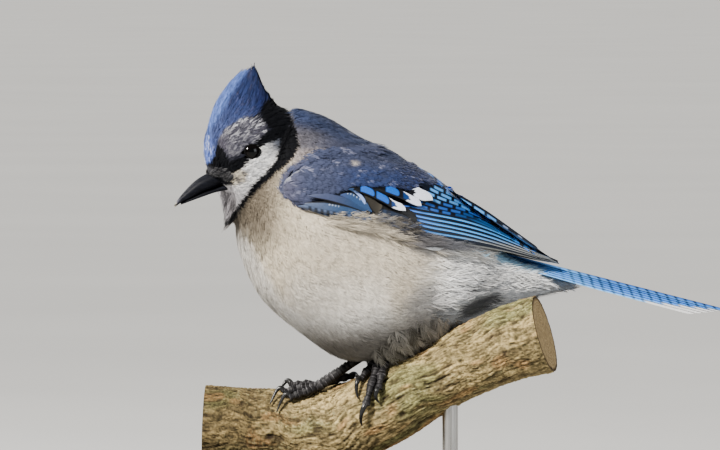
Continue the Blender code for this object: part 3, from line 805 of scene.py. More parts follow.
def plumes(name, shafts, normals, across, spec, colour, unwrap, finish, random):
    """Every feather as a fan of thin barbs that leave its shaft and end on its outline."""
    count, nodes = shafts.shape[:2]
    barbs = spec["barbs"]
    u = (np.arange(barbs) + 0.5) / barbs
    side = np.where(np.arange(barbs) % 2, 1.0, -1.0)
    u = np.clip(u + random.normal(0, 0.25 / barbs, (count, barbs)), 0.01, 0.99)
    s1 = spec["base"] + (1 - spec["base"]) * np.sin(u * math.pi / 2) ** spec["blunt"]
    s1 = s1 * (1 + random.normal(0, spec["ragged"], s1.shape))
    t1 = side * np.cos(u * math.pi / 2) ** 0.75 * (1 + random.normal(0, 0.08, s1.shape))
    s0 = np.maximum(0.02, s1 - spec["reach"])
    s = s0[..., None] + (s1 - s0)[..., None] * BARB_STEPS
    t = t1[..., None] * BARB_STEPS**0.8
    along = np.clip(s, 0, None) * (nodes - 1)
    cell = np.minimum(along.astype(int), nodes - 2)
    part = (along - cell)[..., None]
    row = np.arange(count)[:, None, None]

    def between(values):
        return values[row, cell] * (1 - part) + values[row, cell + 1] * part

    up, over = unit(between(normals)), between(across)
    height = -spec["depth"] + (spec["depth"] + spec["lift"]) * np.clip(s, 0, 1.2) ** spec["rise"]
    height = height - spec["cup"] * t**2
    height = height + random.normal(0, spec["fuzz"], s1.shape)[..., None] * BARB_STEPS
    places = between(shafts) + over * (t * spec["half_width"])[..., None] + up * height[..., None]
    ahead = unit(np.gradient(places, axis=2))
    flat = unit(np.cross(up, ahead))
    width = size("barb_width") * spec["wide"] / 2 * BARB_WIDTHS
    width = width * (1 + random.normal(0, 0.15, s1.shape))[..., None]
    low, high = places - flat * width[..., None], places + flat * width[..., None]
    n = count * barbs
    points = np.concatenate([low[:, :, :3], high[:, :, :3], places[:, :, 3:]], 2).reshape(n * 7, 3)
    lean = unit(up + over * (t * spec["bend"])[..., None] + ahead * ((s - 0.6) * spec["bend"])[..., None])
    lean = unit(lean + (0.0, 0.0, spec["raise"]))
    lean = np.concatenate([lean[:, :, :3], lean], 2).reshape(n * 7, 3)
    first = (np.arange(n) * 7)[:, None]
    quads = np.concatenate([first + np.array([[0, 1, 4, 3]]), first + np.array([[1, 2, 5, 4]])], 0)
    tris = first + np.array([[2, 6, 5]])
    own = np.repeat(random.random(count), barbs)
    tone = colour(places[:, :, 2].reshape(n, 3), random, own)
    tone = tone * (1 + random.normal(0, spec["barb_tone"], n))[:, None]
    each = 1 + random.normal(0, spec["feather_tone"], count)
    tone = tone * np.repeat(each, barbs)[:, None]
    # Each coat's share of painted shade at the barbs' roots
    darker = 1 - (1 - BARB_ROOT_SHADE) * spec["shade"]
    tint = (tone[:, None, :] * darker[None, :, None]).reshape(n * 7, 3)
    centre = unwrap(places[:, :, 0].reshape(n, 3))
    uv = (centre[:, None, :] + BARB_PATCH).reshape(n * 7, 2)
    return build_mesh(name, points, quads, tris, tint, uv, finish, lean)


def round_unwrap(plane, start, end):
    """Unwraps places round a straight line in a plane, into the unit square."""
    start, end = np.array(start, float), np.array(end, float)
    long = np.linalg.norm(end - start)
    way = (end - start) / long

    def unwrap(places):
        q = plane.into(places)
        flat = q[..., [0, 2]] - start
        off = flat[..., 1] * way[0] - flat[..., 0] * way[1]
        angle = np.arctan2(q[..., 1], off) / (2 * math.pi) + 0.5
        along = np.clip(flat @ way / long, 0, 1)
        return np.stack([along, angle], -1) * 0.98 + 0.005

    return unwrap


BODY_UNWRAP = round_unwrap(BODY, (-62.0, 30.0), (104.0, -40.0))
HEAD_UNWRAP = round_unwrap(SKULL, (-24.0, 8.0), (24.0, 60.0))

WING_OUTLINE = (
    (285, 186), (292, 177), (300, 172), (312, 168), (330, 167), (348, 166), (374, 165), (404, 177),
    (428, 194), (450, 209), (480, 226), (505, 240), (527, 250), (561, 263), (540, 259), (500, 247),
    (470, 239), (440, 230), (405, 220), (375, 213), (350, 208), (325, 205), (306, 199), (293, 193),
)


def under_wing(places):
    x, y = seen_at(places, BODY)
    return (within(x, y, WING_OUTLINE, 0.5) > 0.5) & (np.abs(BODY.into(places)[..., 1]) > 6.0)


def eye_place(sign):
    return SKULL.out((EYE_REAR, sign * EYE_SIDE, EYE_HEIGHT))


def eye_axis(sign):
    key = f"axis {sign}"
    if key not in STORE:
        out = SKULL.turned((0, sign, 0))
        _, normals = body_surface().nearest(eye_place(sign)[None] + out * 4.0)
        STORE[key] = unit(normals[0] * 0.6 + out * 0.4)
    return STORE[key]


def clear_of_eyes(shafts, radius):
    """Which feathers stay out of the openings of the lids."""
    good = np.ones(len(shafts), bool)
    for sign in (1, -1):
        axis = eye_axis(sign)
        off = shafts - eye_place(sign)
        along = off @ axis
        away = np.linalg.norm(off - along[..., None] * axis, axis=-1)
        good &= ~((away < radius) & (along > 0)).any(axis=1)
    return good


def coat(name, spacing, keep, changes, finish, seed, unwrap, colour=markings_and_painted_light, flow=flow_at, slot="trunk",
         surface=None, flips=(False,)):
    """One coat piece, or one for each side, of feathers rooted where keep allows."""
    spec = {**PLUME, **changes}
    surface = surface or body_surface()
    random = np.random.default_rng(SEED + seed)
    roots = scattered(surface, spacing, keep, random)
    if not len(roots):
        raise RuntimeError(f"no feathers for {name}")
    length = spec["length"] * (1 + random.normal(0, 0.08, len(roots)))
    turn = random.normal(0, spec["wobble"], len(roots))
    rows = marched(surface, roots, length, flow, turn, spec["nodes"], spec["cling"])
    good = clear_of_eyes(rows[0], size("eye_opening") + spec["eye_room"])
    shafts, normals, across = (row[good] for row in rows)
    for flip in flips:
        label = name if len(flips) == 1 else f"{name}_{'right' if flip else 'left'}"
        if flip:
            places = mirrored(shafts)
            normals, across = (unit(mirrored(shafts + v) - places) for v in (normals, across))
            shafts = places
        made = plumes(label, shafts, normals, across, spec, colour, unwrap, finish, random)
        declare(made, slot)


def mirrored(points):
    q = BODY.into(points)
    q[..., 1] = -q[..., 1]
    return BODY.out(q)


def region(places, wanted):
    """Whether each place belongs to a part of the coat: face, crown, back, vent or breast."""
    own = SKULL.into(places)
    rear, _, up = own[..., 0], own[..., 1], own[..., 2]
    x, y = seen_at(places, BODY)
    line = 2.0 + (rear + 6.0) * 0.95
    if wanted in ("face", "crown"):
        head = (rear < 21.0) & (up > -2.0) & (up > line)
        crown = head & (up > 38.0 + np.clip(rear + 8, 0, 40) * 0.35)
        crown |= head & (rear < -14.5) & (up > 27.0)
        return crown if wanted == "crown" else head & ~crown
    head = (rear < 17.0) & (up > 3.0) & (up > line + 5.0)
    back = ~head & (within(x, y, MANTLE_AREA, 1.0) > 0.5)
    vent = ~head & ~back & (within(x, y, UNDER_TAIL, 1.0) > 0.5)
    found = {"back": back, "vent": vent, "breast": ~head & ~back & ~vent}
    return found[wanted] & ~under_wing(places)


def crest_part(places):
    """How far back in the crest a place is, from 0 at its front edge to 1, and its height."""
    q = SKULL.into(places)
    rear, up = q[..., 0], q[..., 2]
    table = np.array(CREST)
    front, back = (np.interp(up, table[:, 0], table[:, k]) for k in (1, 2))
    return (rear - front) / (back - front), up


def off_bill(places):
    q = SKULL.into(places)
    line = 23.6 + (q[..., 0] + 12.6) * -0.45
    inside = (np.abs(q[..., 1]) < 4.6) & (q[..., 0] < -8.0) & (q[..., 2] < line) & (q[..., 2] > 14.5)
    far_side = (q[..., 1] < -1.5) & (q[..., 0] < -14.5) & (q[..., 2] < 27.0)
    return ~(inside | far_side)


def build_skin():
    surface = body_surface()
    points, normals = points_of(STORE["body mesh"]), normals_of(STORE["body mesh"])
    own = SKULL.into(points)
    on_head = smooth(24.0, 12.0, own[:, 0]) * smooth(-6.0, 4.0, own[:, 2])
    depth = size("coat_depth") * (1 - on_head) + size("face_depth") * on_head
    random = np.random.default_rng(SEED)
    tint = markings_and_painted_light(points, random, np.full(len(points), 0.5)) * 0.95
    points = points - normals * depth[:, None]
    q = BODY.into(points)
    thin = 1 - 0.9 * smooth(76, 90, q[:, 0])
    middle = -21.5 - 0.25 * (q[:, 0] - 76)
    q[:, 2] = np.where(q[:, 0] > 76, middle + (q[:, 2] - middle) * thin, q[:, 2])
    q[:, 1] *= thin
    points = BODY.out(q)
    for sign in (1, -1):
        axis = eye_axis(sign)
        off = points - eye_place(sign)
        along = off @ axis
        away = np.linalg.norm(off - along[:, None] * axis, axis=1)
        sink = np.where(along > 0, smooth(5.0, 2.6, away), 0.0)
        points = points - axis * (sink * 3.5)[:, None]
        tint = mix(tint, shade("black"), np.where(along > 0, smooth(4.6, 3.8, away), 0.0))
    finish = plume_material("down", Sheen_Weight=0.0)
    made = build_mesh("skin", points, *parted(surface.faces), tint, BODY_UNWRAP(points), finish)
    declare(made, "trunk", "trunk", "neck", "head", "crest")


def toward_wing(places, normals):
    """Flank feathers rise to the rear, over the wing's lower edge."""
    way = np.broadcast_to(unit(np.array((1.0, 0.0, -0.10))), places.shape)
    return unit(way - normals * np.sum(way * normals, -1, keepdims=True))


def fringe_colour(places, random, own):
    x, y = seen_at(places, BODY)
    tint = mix(shade("breast") * 0.95, shade("breast") * 0.68, smooth(0.5, 0.9, own))
    tint = mix(tint, (0.10, 0.10, 0.12), smooth(385, 405, x) * smooth(440, 425, x) * smooth(0.35, 0.8, own))
    tint = mix(tint, shade("belly") * 0.8, smooth(440, 455, x) * 0.8)
    # Painted shadow of the wing's lower edge on the fringe feathers below it
    return mix(tint, (0.13, 0.135, 0.165), smooth(410, 424, x) * smooth(254, 246, y) * 0.8)


FRINGE_STRIP = (
    (322, 210), (345, 213), (372, 217), (400, 224), (425, 234), (450, 239), (480, 245), (480, 256),
    (450, 250), (425, 246), (400, 238), (372, 230), (345, 225), (322, 219),
)
MARGIN = (
    (326, 208), (345, 212), (360, 213.5), (372, 213), (384, 215), (394, 218.5), (404, 224),
    (409, 230), (404, 231), (384, 222), (370, 219), (350, 216), (330, 213),
)


def in_fringe(places):
    x, y = seen_at(places, BODY)
    return within(x, y, FRINGE_STRIP, 0.5) > 0.5


def in_margin(places):
    x, y = seen_at(places, BODY)
    return (within(x, y, MARGIN, 0.5) > 0.5) & (BODY.into(places)[..., 1] > 10.0)


def over_wing(places, normals):
    """The flank feathers that cover the wing's lower edge run level to the rear."""
    way = np.broadcast_to(unit(np.array((1.0, 0.0, -0.02))), places.shape)
    return unit(way - normals * np.sum(way * normals, -1, keepdims=True))


def margin_colour(places, random, own):
    x, y = seen_at(places, BODY)
    tint = mix(shade("breast") * 0.9, (0.30, 0.28, 0.25), smooth(365, 392, x))
    tint = mix(tint, (0.085, 0.075, 0.066), smooth(388, 412, x) * (0.4 + 0.6 * (own > 0.35)))
    return mix(tint, (0.12, 0.14, 0.20), (own > 0.75) * smooth(340, 365, x) * 0.7)


def rear_flow(places, normals):
    """Feathers under the tail run out along it."""
    way = flow_at(places, normals)
    along = unit(BODY.out((116.0, 0.0, -25.5)) - places)
    rear = smooth(46, 66, BODY.into(places)[..., 0])[..., None]
    return unit(way * (1 - rear) + along * rear)


SCAPULAR = (
    (277, 188), (283, 171), (292, 160), (304, 151), (325, 147), (345, 146), (372, 142), (374, 149),
    (345, 153), (325, 155), (307, 158), (297, 165), (289, 176), (284, 189),
)


def on_scapular(places):
    x, y = seen_at(places, BODY)
    return (within(x, y, SCAPULAR, 0.5) > 0.5) & (np.abs(BODY.into(places)[..., 1]) > 6.0)


FLANK = (
    (432, 250), (455, 246), (480, 256), (502, 268), (512, 284), (490, 300), (466, 312), (446, 318),
    (434, 300), (428, 275),
)
THIGH = (
    (372, 352), (380, 338), (396, 325), (415, 316), (440, 312), (456, 318), (450, 330), (430, 350),
    (400, 362), (376, 364),
)


def on_flank(places):
    x, y = seen_at(places, BODY)
    return within(x, y, FLANK, 3.0) > 0.5


def on_thigh(places):
    x, y = seen_at(places, BODY)
    return within(x, y, THIGH, 1.0) > 0.5


def flank_colour(places, random, own):
    return markings_and_painted_light(places, random, own) * (0.86 + 0.22 * own[:, None])


def thigh_colour(places, random, own):
    x, y = seen_at(places, BODY)
    grey = mix((0.32, 0.305, 0.275), (0.10, 0.095, 0.08), smooth(0.35, 0.9, own))
    pale = np.maximum(smooth(340, 324, y + 0.3 * (x - 400)), smooth(424, 444, x))
    return mix(grey, (0.36, 0.34, 0.32), pale * 0.85)


def thigh_flow(places, normals):
    """Feathers round the thighs hang down over the feet."""
    way = np.broadcast_to(unit(BODY.turned((0.55, 0.0, -0.85))), places.shape)
    return unit(way - normals * np.sum(way * normals, -1, keepdims=True) * 0.6)


def build_body_coat():
    soft = plume_material("body plumage")
    over = {"length": 7.0, "half_width": 1.8, "barbs": 24, "wide": 0.75, "depth": 0.4, "lift": 1.0,
            "fuzz": 0.06, "barb_tone": 0.08, "feather_tone": 0.06, "rise": 0.8, "cup": 0.1}
    coat("coat_scapular", 1.5, on_scapular, over, soft, 24, BODY_UNWRAP, shoulder_colour, shoulder_flow)
    rear_of = lambda p: BODY.into(p)[..., 0]
    bands = ((-99, -24), (-24, -8), (-8, 8), (8, 26), (26, 200))
    for k, (low, high) in enumerate(bands):
        keep = lambda p: region(p, "breast") & (rear_of(p) >= low) & (rear_of(p) < high)
        changes = {"length": 12.0 + 0.8 * k, "lift": 0.12 + 0.1 * k, "fuzz": 0.12 + 0.03 * k,
                   "raise": 0.08 * k}
        coat(f"coat_breast_{k + 1}", 2.15, keep, changes, soft, 10 + k, BODY_UNWRAP)
    sleek = {"length": 9.0, "half_width": 2.6, "barbs": 26, "lift": 0.05, "fuzz": 0.08,
             "feather_tone": 0.07, "barb_tone": 0.07, "depth": 0.9, "wide": 0.8}
    coat("coat_back", 2.0, lambda p: region(p, "back"), sleek, soft, 20, BODY_UNWRAP)
    loose = {"length": 18.0, "half_width": 4.0, "barbs": 40, "lift": 1.2, "fuzz": 0.5,
             "ragged": 0.12, "cling": 0.25, "bend": 0.6, "feather_tone": 0.05, "wide": 0.8,
             "raise": 1.6}
    keep = lambda p: region(p, "vent") & (rear_of(p) < 84)
    coat("coat_vent", 2.7, keep, loose, soft, 21, BODY_UNWRAP, flow=rear_flow)
    fluff = {"length": 10.0, "half_width": 2.4, "barbs": 26, "wide": 0.6, "depth": 0.6, "lift": 2.2,
             "fuzz": 0.5, "ragged": 0.16, "cling": 0.15, "wobble": 0.3, "bend": 0.6,
             "feather_tone": 0.08, "barb_tone": 0.10}
    flank = {**fluff, "length": 13.0, "lift": 1.6, "raise": 0.75, "wobble": 0.22, "cling": 0.4}
    coat("coat_flank", 3.4, on_flank, flank, soft, 25, BODY_UNWRAP, flank_colour, rear_flow)
    coat("coat_thigh", 2.2, on_thigh, fluff, soft, 26, BODY_UNWRAP, thigh_colour, thigh_flow)
    fringe = {"length": 10.0, "half_width": 1.6, "barbs": 18, "wide": 0.45, "depth": 0.4, "lift": 3.0,
              "fuzz": 0.4, "ragged": 0.15, "reach": 0.6, "base": 0.4, "barb_tone": 0.15,
              "wobble": 0.16, "shade": 0.1}
    coat("coat_fringe", 1.4, in_fringe, fringe, soft, 22, BODY_UNWRAP, fringe_colour, toward_wing)
    margin = {**fringe, "length": 7.0, "half_width": 1.2, "lift": 2.6, "cling": 0.3, "depth": 0.1}
    coat("coat_margin", 1.1, in_margin, margin, soft, 23, BODY_UNWRAP, margin_colour, over_wing,
         "trunk", wing_surface(), (False, True))


def beard_flow(places, normals):
    """Throat feathers hang towards one point under the chin."""
    return unit(SKULL.out((-8.4, 0.0, -0.5)) - places)


def in_beard(places):
    q = SKULL.into(places)
    return (np.abs(q[..., 1]) < 7.0) & (q[..., 0] < -3.0) & (q[..., 2] > 4.0) & (q[..., 2] < 14.0)


def on_crest_edge(places):
    part, up = crest_part(places)
    back = (part > 0.80) & (part < 1.1) & (up < 57.5)
    return (up > 54.0) & (up < 61.5) & (back | (part < 0.45))


def build_head_coat():
    soft = plume_material("face plumage", Sheen_Weight=0.04, Specular_IOR_Level=0.16)
    up_of = lambda p: SKULL.into(p)[..., 2]
    face = {"length": 4.2, "half_width": 0.9, "barbs": 10, "wide": 0.62, "depth": 0.8, "lift": 0.15,
            "cup": 0.1, "fuzz": 0.08, "ragged": 0.10, "barb_tone": 0.09, "feather_tone": 0.09,
            "wobble": 0.12, "shade": 0.35}
    keep = lambda p: region(p, "face") & off_bill(p)
    coat("coat_face", 0.78, keep, face, soft, 30, HEAD_UNWRAP)
    crown = {**face, "length": 6.5, "half_width": 1.2, "barbs": 13, "lift": 0.1}
    crested = lambda p: (up_of(p) > 44.0) & (crest_part(p)[0] < 0.7 + 0.34 * smooth(46, 56, up_of(p)))
    low = lambda p: region(p, "crown") & ((up_of(p) < 49.0) | ~crested(p)) & off_bill(p)
    coat("coat_crown", 0.95, low, crown, soft, 31, HEAD_UNWRAP)
    crest = {**face, "length": 11.0, "half_width": 1.0, "barbs": 20, "ragged": 0.10, "blunt": 0.8,
             "wobble": 0.06, "cling": 0.6, "lift": 0.2}
    high = lambda p: region(p, "crown") & crested(p) & (up_of(p) < 61.0)
    coat("coat_crest", 1.15, high, crest, soft, 32, HEAD_UNWRAP)
    edge = {**crest, "length": 7.5, "half_width": 0.9, "cling": 0.3, "wobble": 0.04, "lift": 0.15}
    coat("coat_crest_edge", 1.7, on_crest_edge, edge, soft, 35, HEAD_UNWRAP)
    beard = {**face, "length": 6.5, "half_width": 0.8, "barbs": 14, "lift": 0.9, "cling": 0.0,
             "ragged": 0.16, "barb_tone": 0.24, "feather_tone": 0.18, "shade": 0.55, "wobble": 0.26,
             "wide": 0.42, "fuzz": 0.2}
    coat("coat_beard", 0.85, in_beard, beard, soft, 33, HEAD_UNWRAP, flow=beard_flow)
    build_bristles(soft)


def build_bristles(finish):
    """The stiff feathers that lie forward over the bill's root and the nostrils."""
    whole = body_surface()
    rings = oval_rings(SKULL, BILL_UPPER, 24, 24)
    points, quads, tris = closed_tube(rings)
    faces = [tuple(f) for f in quads] + [tuple(f) for f in tris]
    start = len(whole.points)
    joint = Surface(
        np.vstack([whole.points, points]), list(whole.faces) + [tuple(i + start for i in f) for f in faces]
    )
    random = np.random.default_rng(SEED + 34)
    roots = []
    for _ in range(300):
        sign = 1 if random.random() < 0.5 else -1
        turn = random.random() ** 0.8
        rear = -9.6 - 5.2 * turn + random.normal(0, 0.4)
        up = 22.0 + 3.6 * turn + random.normal(0, 0.6)
        start = SKULL.out((rear, sign * 30.0, up))
        spot, _, _, _ = joint.tree.ray_cast(start, SKULL.turned((0, -sign, 0)))
        if spot is not None and (sign > 0 or rear > -12.0):
            roots.append(tuple(spot))
    roots = np.array(roots)
    ahead = unit(SKULL.turned((-1.0, 0.0, -0.42)))

    def flow(places, normals):
        way = np.broadcast_to(ahead, places.shape)
        return unit(way - normals * np.sum(way * normals, -1, keepdims=True))

    spec = {**PLUME, "half_width": 0.6, "barbs": 11, "wide": 0.5, "depth": 0.1, "lift": 0.7, "cup": 0.0,
            "fuzz": 0.15, "ragged": 0.14, "shade": 0.6, "barb_tone": 0.3, "nodes": 5}
    rows = marched(joint, roots, 5.0 * (1 + random.normal(0, 0.15, len(roots))), flow,
                   random.normal(0, 0.12, len(roots)), 5, 1.0)
    colour = lambda places, chance, own: mix((0.018, 0.018, 0.022), (0.13, 0.13, 0.135), own**2)
    made = plumes("coat_bristles", *rows, spec, colour, HEAD_UNWRAP, finish, random)
    declare(made, "trunk")


# Bill, eyes and legs


def tube_points(path, radii, sides, bumps=0):
    """Rings round a path of places, with an optional change of radius at each ring and side."""
    side, top = tube_axes(path)
    turn = np.linspace(0, 2 * math.pi, sides, endpoint=False)
    r = radii[:, None] * (1 + bumps)
    wide, high = (r * np.cos(turn))[..., None], (r * np.sin(turn))[..., None]
    return path[:, None] + side[:, None] * wide + top[:, None] * high


def tube_axes(path):
    ahead = unit(np.gradient(path, axis=0))
    side = unit(np.cross(ahead, np.array((0.13, 0.21, 0.97))))
    return side, unit(np.cross(side, ahead))


def closed_tube(rings):
    """Points and faces of a closed tube through rings."""
    count, sides = rings.shape[:2]
    points = np.vstack([rings.reshape(-1, 3), rings[0].mean(0)[None], rings[-1].mean(0)[None]])
    quads = ring_faces(count, sides).reshape(-1, 4)
    k = np.arange(sides)
    last = (count - 1) * sides
    low = np.stack([(k + 1) % sides, k, np.full(sides, count * sides)], -1)
    high = np.stack([last + k, last + (k + 1) % sides, np.full(sides, count * sides + 1)], -1)
    return points, quads, np.vstack([low, high])


def tube_uv(count, sides, where=(0.0, 0.0, 1.0, 1.0)):
    i, j = np.meshgrid(np.arange(count), np.arange(sides), indexing="ij")
    u = where[0] + (where[2] - where[0]) * i / (count - 1)
    v = where[1] + (where[3] - where[1]) * (j / sides)
    uv = np.stack([u, v], -1).reshape(-1, 2)
    return np.vstack([uv, uv[:sides].mean(0)[None], uv[-sides:].mean(0)[None]])


def joined(parts):
    """Several sets of points, quads, triangles, tints and map places as one."""
    first = np.cumsum([0] + [len(part[0]) for part in parts])[:-1]
    points, quads, tris, tint, uv = zip(*parts)
    quads = [np.asarray(q, int).reshape(-1, 4) + k for q, k in zip(quads, first)]
    tris = [np.asarray(t, int).reshape(-1, 3) + k for t, k in zip(tris, first)]
    return tuple(np.vstack(v) for v in (points, quads, tris, tint, uv))


def horn_material(name, roughness, bump=0.12, high=1.9, **constants):
    stretch = (260.0, 900.0, 900.0)
    return tinted_material(name, (1.0, 4.0, stretch), 0.7, high, roughness, bump, **constants)


def build_bill():
    horn = horn_material("bill horn", (0.42, 0.58), 0.12, 1.4, Specular_IOR_Level=0.16)
    colour = shade("horn")
    for name, table, node in (
        ("bill_above", BILL_UPPER, "bill_upper"), ("bill_below", BILL_LOWER, "bill_lower")
    ):
        count, sides = 64, 48
        rings = oval_rings(SKULL, table, count, sides)
        q = SKULL.into(rings)
        off = q - q.mean(1, keepdims=True)
        part = off[..., 2] / np.abs(off[..., 2]).max(1, keepdims=True)
        if name == "bill_above":
            q[..., 2] += 0.25 * np.exp(-((off[..., 1] / 1.1) ** 2)) * (part > 0)
            q[..., 2] -= 0.32 * smooth(0.0, 0.5, -part)
        else:
            q[..., 2] += 0.32 * smooth(0.0, 0.5, part)
        points, quads, tris = closed_tube(SKULL.out(q))
        q = SKULL.into(points)
        # Lighter towards the tip, ending in a pale painted highlight on the very tip
        tint = mix(colour, colour * (7.0, 6.4, 5.8), smooth(-29.5, -32.0, q[:, 0]))
        tint = mix(tint, (0.42, 0.39, 0.33), smooth(-31.2, -32.4, q[:, 0]) * 0.9)
        tint = mix(tint, colour * 0.35, smooth(0.6, 0.0, np.abs(q[:, 2] - 19.4 - (q[:, 0] + 8) * 0.40)))
        made = build_mesh(name, points, quads, tris, tint, tube_uv(count, sides), horn)
        declare(made, "bill", node)


def build_eyes():
    wet = tinted_material(
        "eye", (600.0, 2.0), 0.9, 1.1, (0.05, 0.07), Specular_IOR_Level=0.34,
    )
    rim = horn_material("lid skin", (0.6, 0.75), Specular_IOR_Level=0.15)
    for label, sign in (("left", 1), ("right", -1)):
        centre, axis = eye_place(sign), eye_axis(sign)
        side = unit(np.cross(axis, (0, 0, 1)))
        top = np.cross(side, axis)
        count, sides = 40, 56
        fall = np.linspace(0.0, math.pi, count)[:, None, None]
        turn = np.linspace(0, 2 * math.pi, sides, endpoint=False)[None, :, None]
        ball = np.sin(fall) * (np.cos(turn) * side + np.sin(turn) * top) + np.cos(fall) * axis
        points, quads, tris = closed_tube(centre + EYE_RADIUS * ball)
        angle = np.degrees(np.arccos(np.clip(unit(points - centre) @ axis, -1, 1)))
        iris = shade("eye")
        tint = mix((0.003, 0.003, 0.003), iris, smooth(19, 22, angle))
        tint = mix(tint, iris * 0.5, smooth(32, 40, angle))
        eye = build_mesh(f"eyeball_{label}", points, quads, tris, tint, tube_uv(count, sides), wet)
        declare(eye, "eye", f"eye_{label}")
        opening, width = size("eye_opening"), size("lid_width")
        rows, around = 14, 84
        a = np.linspace(0, 2 * math.pi, rows, endpoint=False)
        t = np.linspace(0, 2 * math.pi, around, endpoint=False)
        major = opening * (1 + 0.045 * np.cos(2 * t)) + width * 0.7
        minor = width * (1 + 0.25 * np.cos(t) ** 2) * (1 + 0.10 * np.sin(t * 19))
        radial = np.cos(t)[:, None] * side + np.sin(t)[:, None] * top
        wide = (major[:, None] + minor[:, None] * np.cos(a))[..., None]
        level = math.sqrt(EYE_RADIUS**2 - opening**2) + 0.05
        high = (level + minor[:, None] * 0.9 * np.sin(a))[..., None]
        lid = centre + radial[:, None] * wide + axis * high
        index = np.arange(around * rows).reshape(around, rows)
        nxt, over = np.roll(index, -1, 0), np.roll(index, -1, 1)
        quads = np.stack([index, nxt, np.roll(nxt, -1, 1), over], -1)
        uv = np.stack(np.meshgrid(t, a, indexing="ij"), -1).reshape(-1, 2) / (2 * math.pi)
        tone = np.full((around * rows, 3), 0.005)
        made = build_mesh(f"lids_{label}", lid.reshape(-1, 3), quads, (), tone, uv, rim)
        declare(made, "leg")


def perch_at(x):
    rows = STORE.setdefault("perch rows", eased(PERCH, 81))
    place = np.array([np.interp(x, rows[:, 0], rows[:, k]) for k in range(4)])
    ahead = np.array([np.interp(x + 1.0, rows[:, 0], rows[:, k]) for k in range(3)])
    behind = np.array([np.interp(x - 1.0, rows[:, 0], rows[:, k]) for k in range(3)])
    return place[:3], place[3], unit(ahead - behind)


def round_perch(station, angle, above):
    """Places round the branch at a station, by angles from its top and heights over its bark."""
    middle, radius, along = perch_at(station)
    side = unit(np.cross(along, (0, 0, 1)))
    top = unit(np.cross(side, along))
    turn = np.radians(angle)
    out = np.cos(turn)[..., None] * top + np.sin(turn)[..., None] * side
    return middle + out * np.asarray(radius + above)[..., None] + (0, 0, DATUM)


def on_perch(x, angle, above):
    station = x
    for _ in range(6):
        station += x - round_perch(station, angle, above)[0]
    return round_perch(station, angle, above)


def toe_path(foot, digit, count):
    (x0, a0), (x1, a1), (r0, r1), _ = TOES[foot][digit]
    root = on_perch(*FEET[foot], FOOT_HEIGHT)
    path, radii = [], []
    for v in np.linspace(0, 1, count):
        r = r0 + (r1 - r0) * v
        lying = on_perch(x0 + (x1 - x0) * v, a0 + (a1 - a0) * v, r * 1.1 + GAP)
        down = min(1.0, v / TOE_RISE)
        path.append(root + (lying - root) * down * down * (3 - 2 * down))
        radii.append(r * (1 + 0.17 * math.cos(6 * math.pi * v)))
    return np.array(path), np.array(radii)


def claw_path(foot, digit, count):
    _, (x1, a1), (_, r1), (reach, turn) = TOES[foot][digit]
    path, radii = [], []
    for t in np.linspace(0, 1, count):
        arch = 2.6 * math.sin(math.pi * min(1.0, t * 1.1)) * (1 - t)
        above = GAP + 0.12 + CLAW_TIP + (r1 * 1.15 - CLAW_TIP) * (1 - t**2.2) + arch
        on = -0.10 + 1.10 * t
        bow = math.sin(math.pi * t)
        aside, round_it = (-1.4 * bow, 0.0) if foot == "left" else (0.0, -8.0 * bow)
        path.append(on_perch(x1 + reach * on + aside, a1 + turn * on + round_it, above))
        radii.append(CLAW_ROOT * 1.2 + (CLAW_TIP - CLAW_ROOT * 1.2) * t**1.2)
    return np.array(path), np.array(radii)


def scuted(path, radii, sides, pitch, front):
    """A scaled tube: overlapping plates down its front, small scales elsewhere."""
    step = np.linalg.norm(np.diff(path, axis=0), axis=1)
    far = np.concatenate([[0], np.cumsum(step)])
    turn = np.linspace(0, 2 * math.pi, sides, endpoint=False)
    side, top = tube_axes(path)
    spoke = side[:, None] * np.cos(turn)[None, :, None] + top[:, None] * np.sin(turn)[None, :, None]
    plate = smooth(-0.25, 0.2, (spoke * front).sum(-1))
    saw = (far / pitch + 0.12 * np.sin(far * 1.7)) % 1.0
    ridge = np.where(saw < 0.80, 0.02 + 0.15 * saw, -0.12)
    small = np.sin(far * 2 * math.pi / (pitch * 0.5))[:, None] * np.sin(turn * 8)[None]
    bumps = ridge[:, None] * plate + 0.05 * small * (1 - plate)
    edge = smooth(0.64, 0.76, saw) * (saw < 0.80)
    chance = value_noise(path[:, None] + spoke * 2.0, 0.7, 21)
    pale = 1.5 + 5.0 * smooth(0.0, 0.6, chance)
    tone = 1 + pale * edge[:, None] * plate - 0.5 * (saw > 0.86)[:, None] * plate + 0.5 * chance
    tone = tone * (1 + 0.5 * small * (1 - plate))
    return tube_points(path, radii, sides, bumps), tone


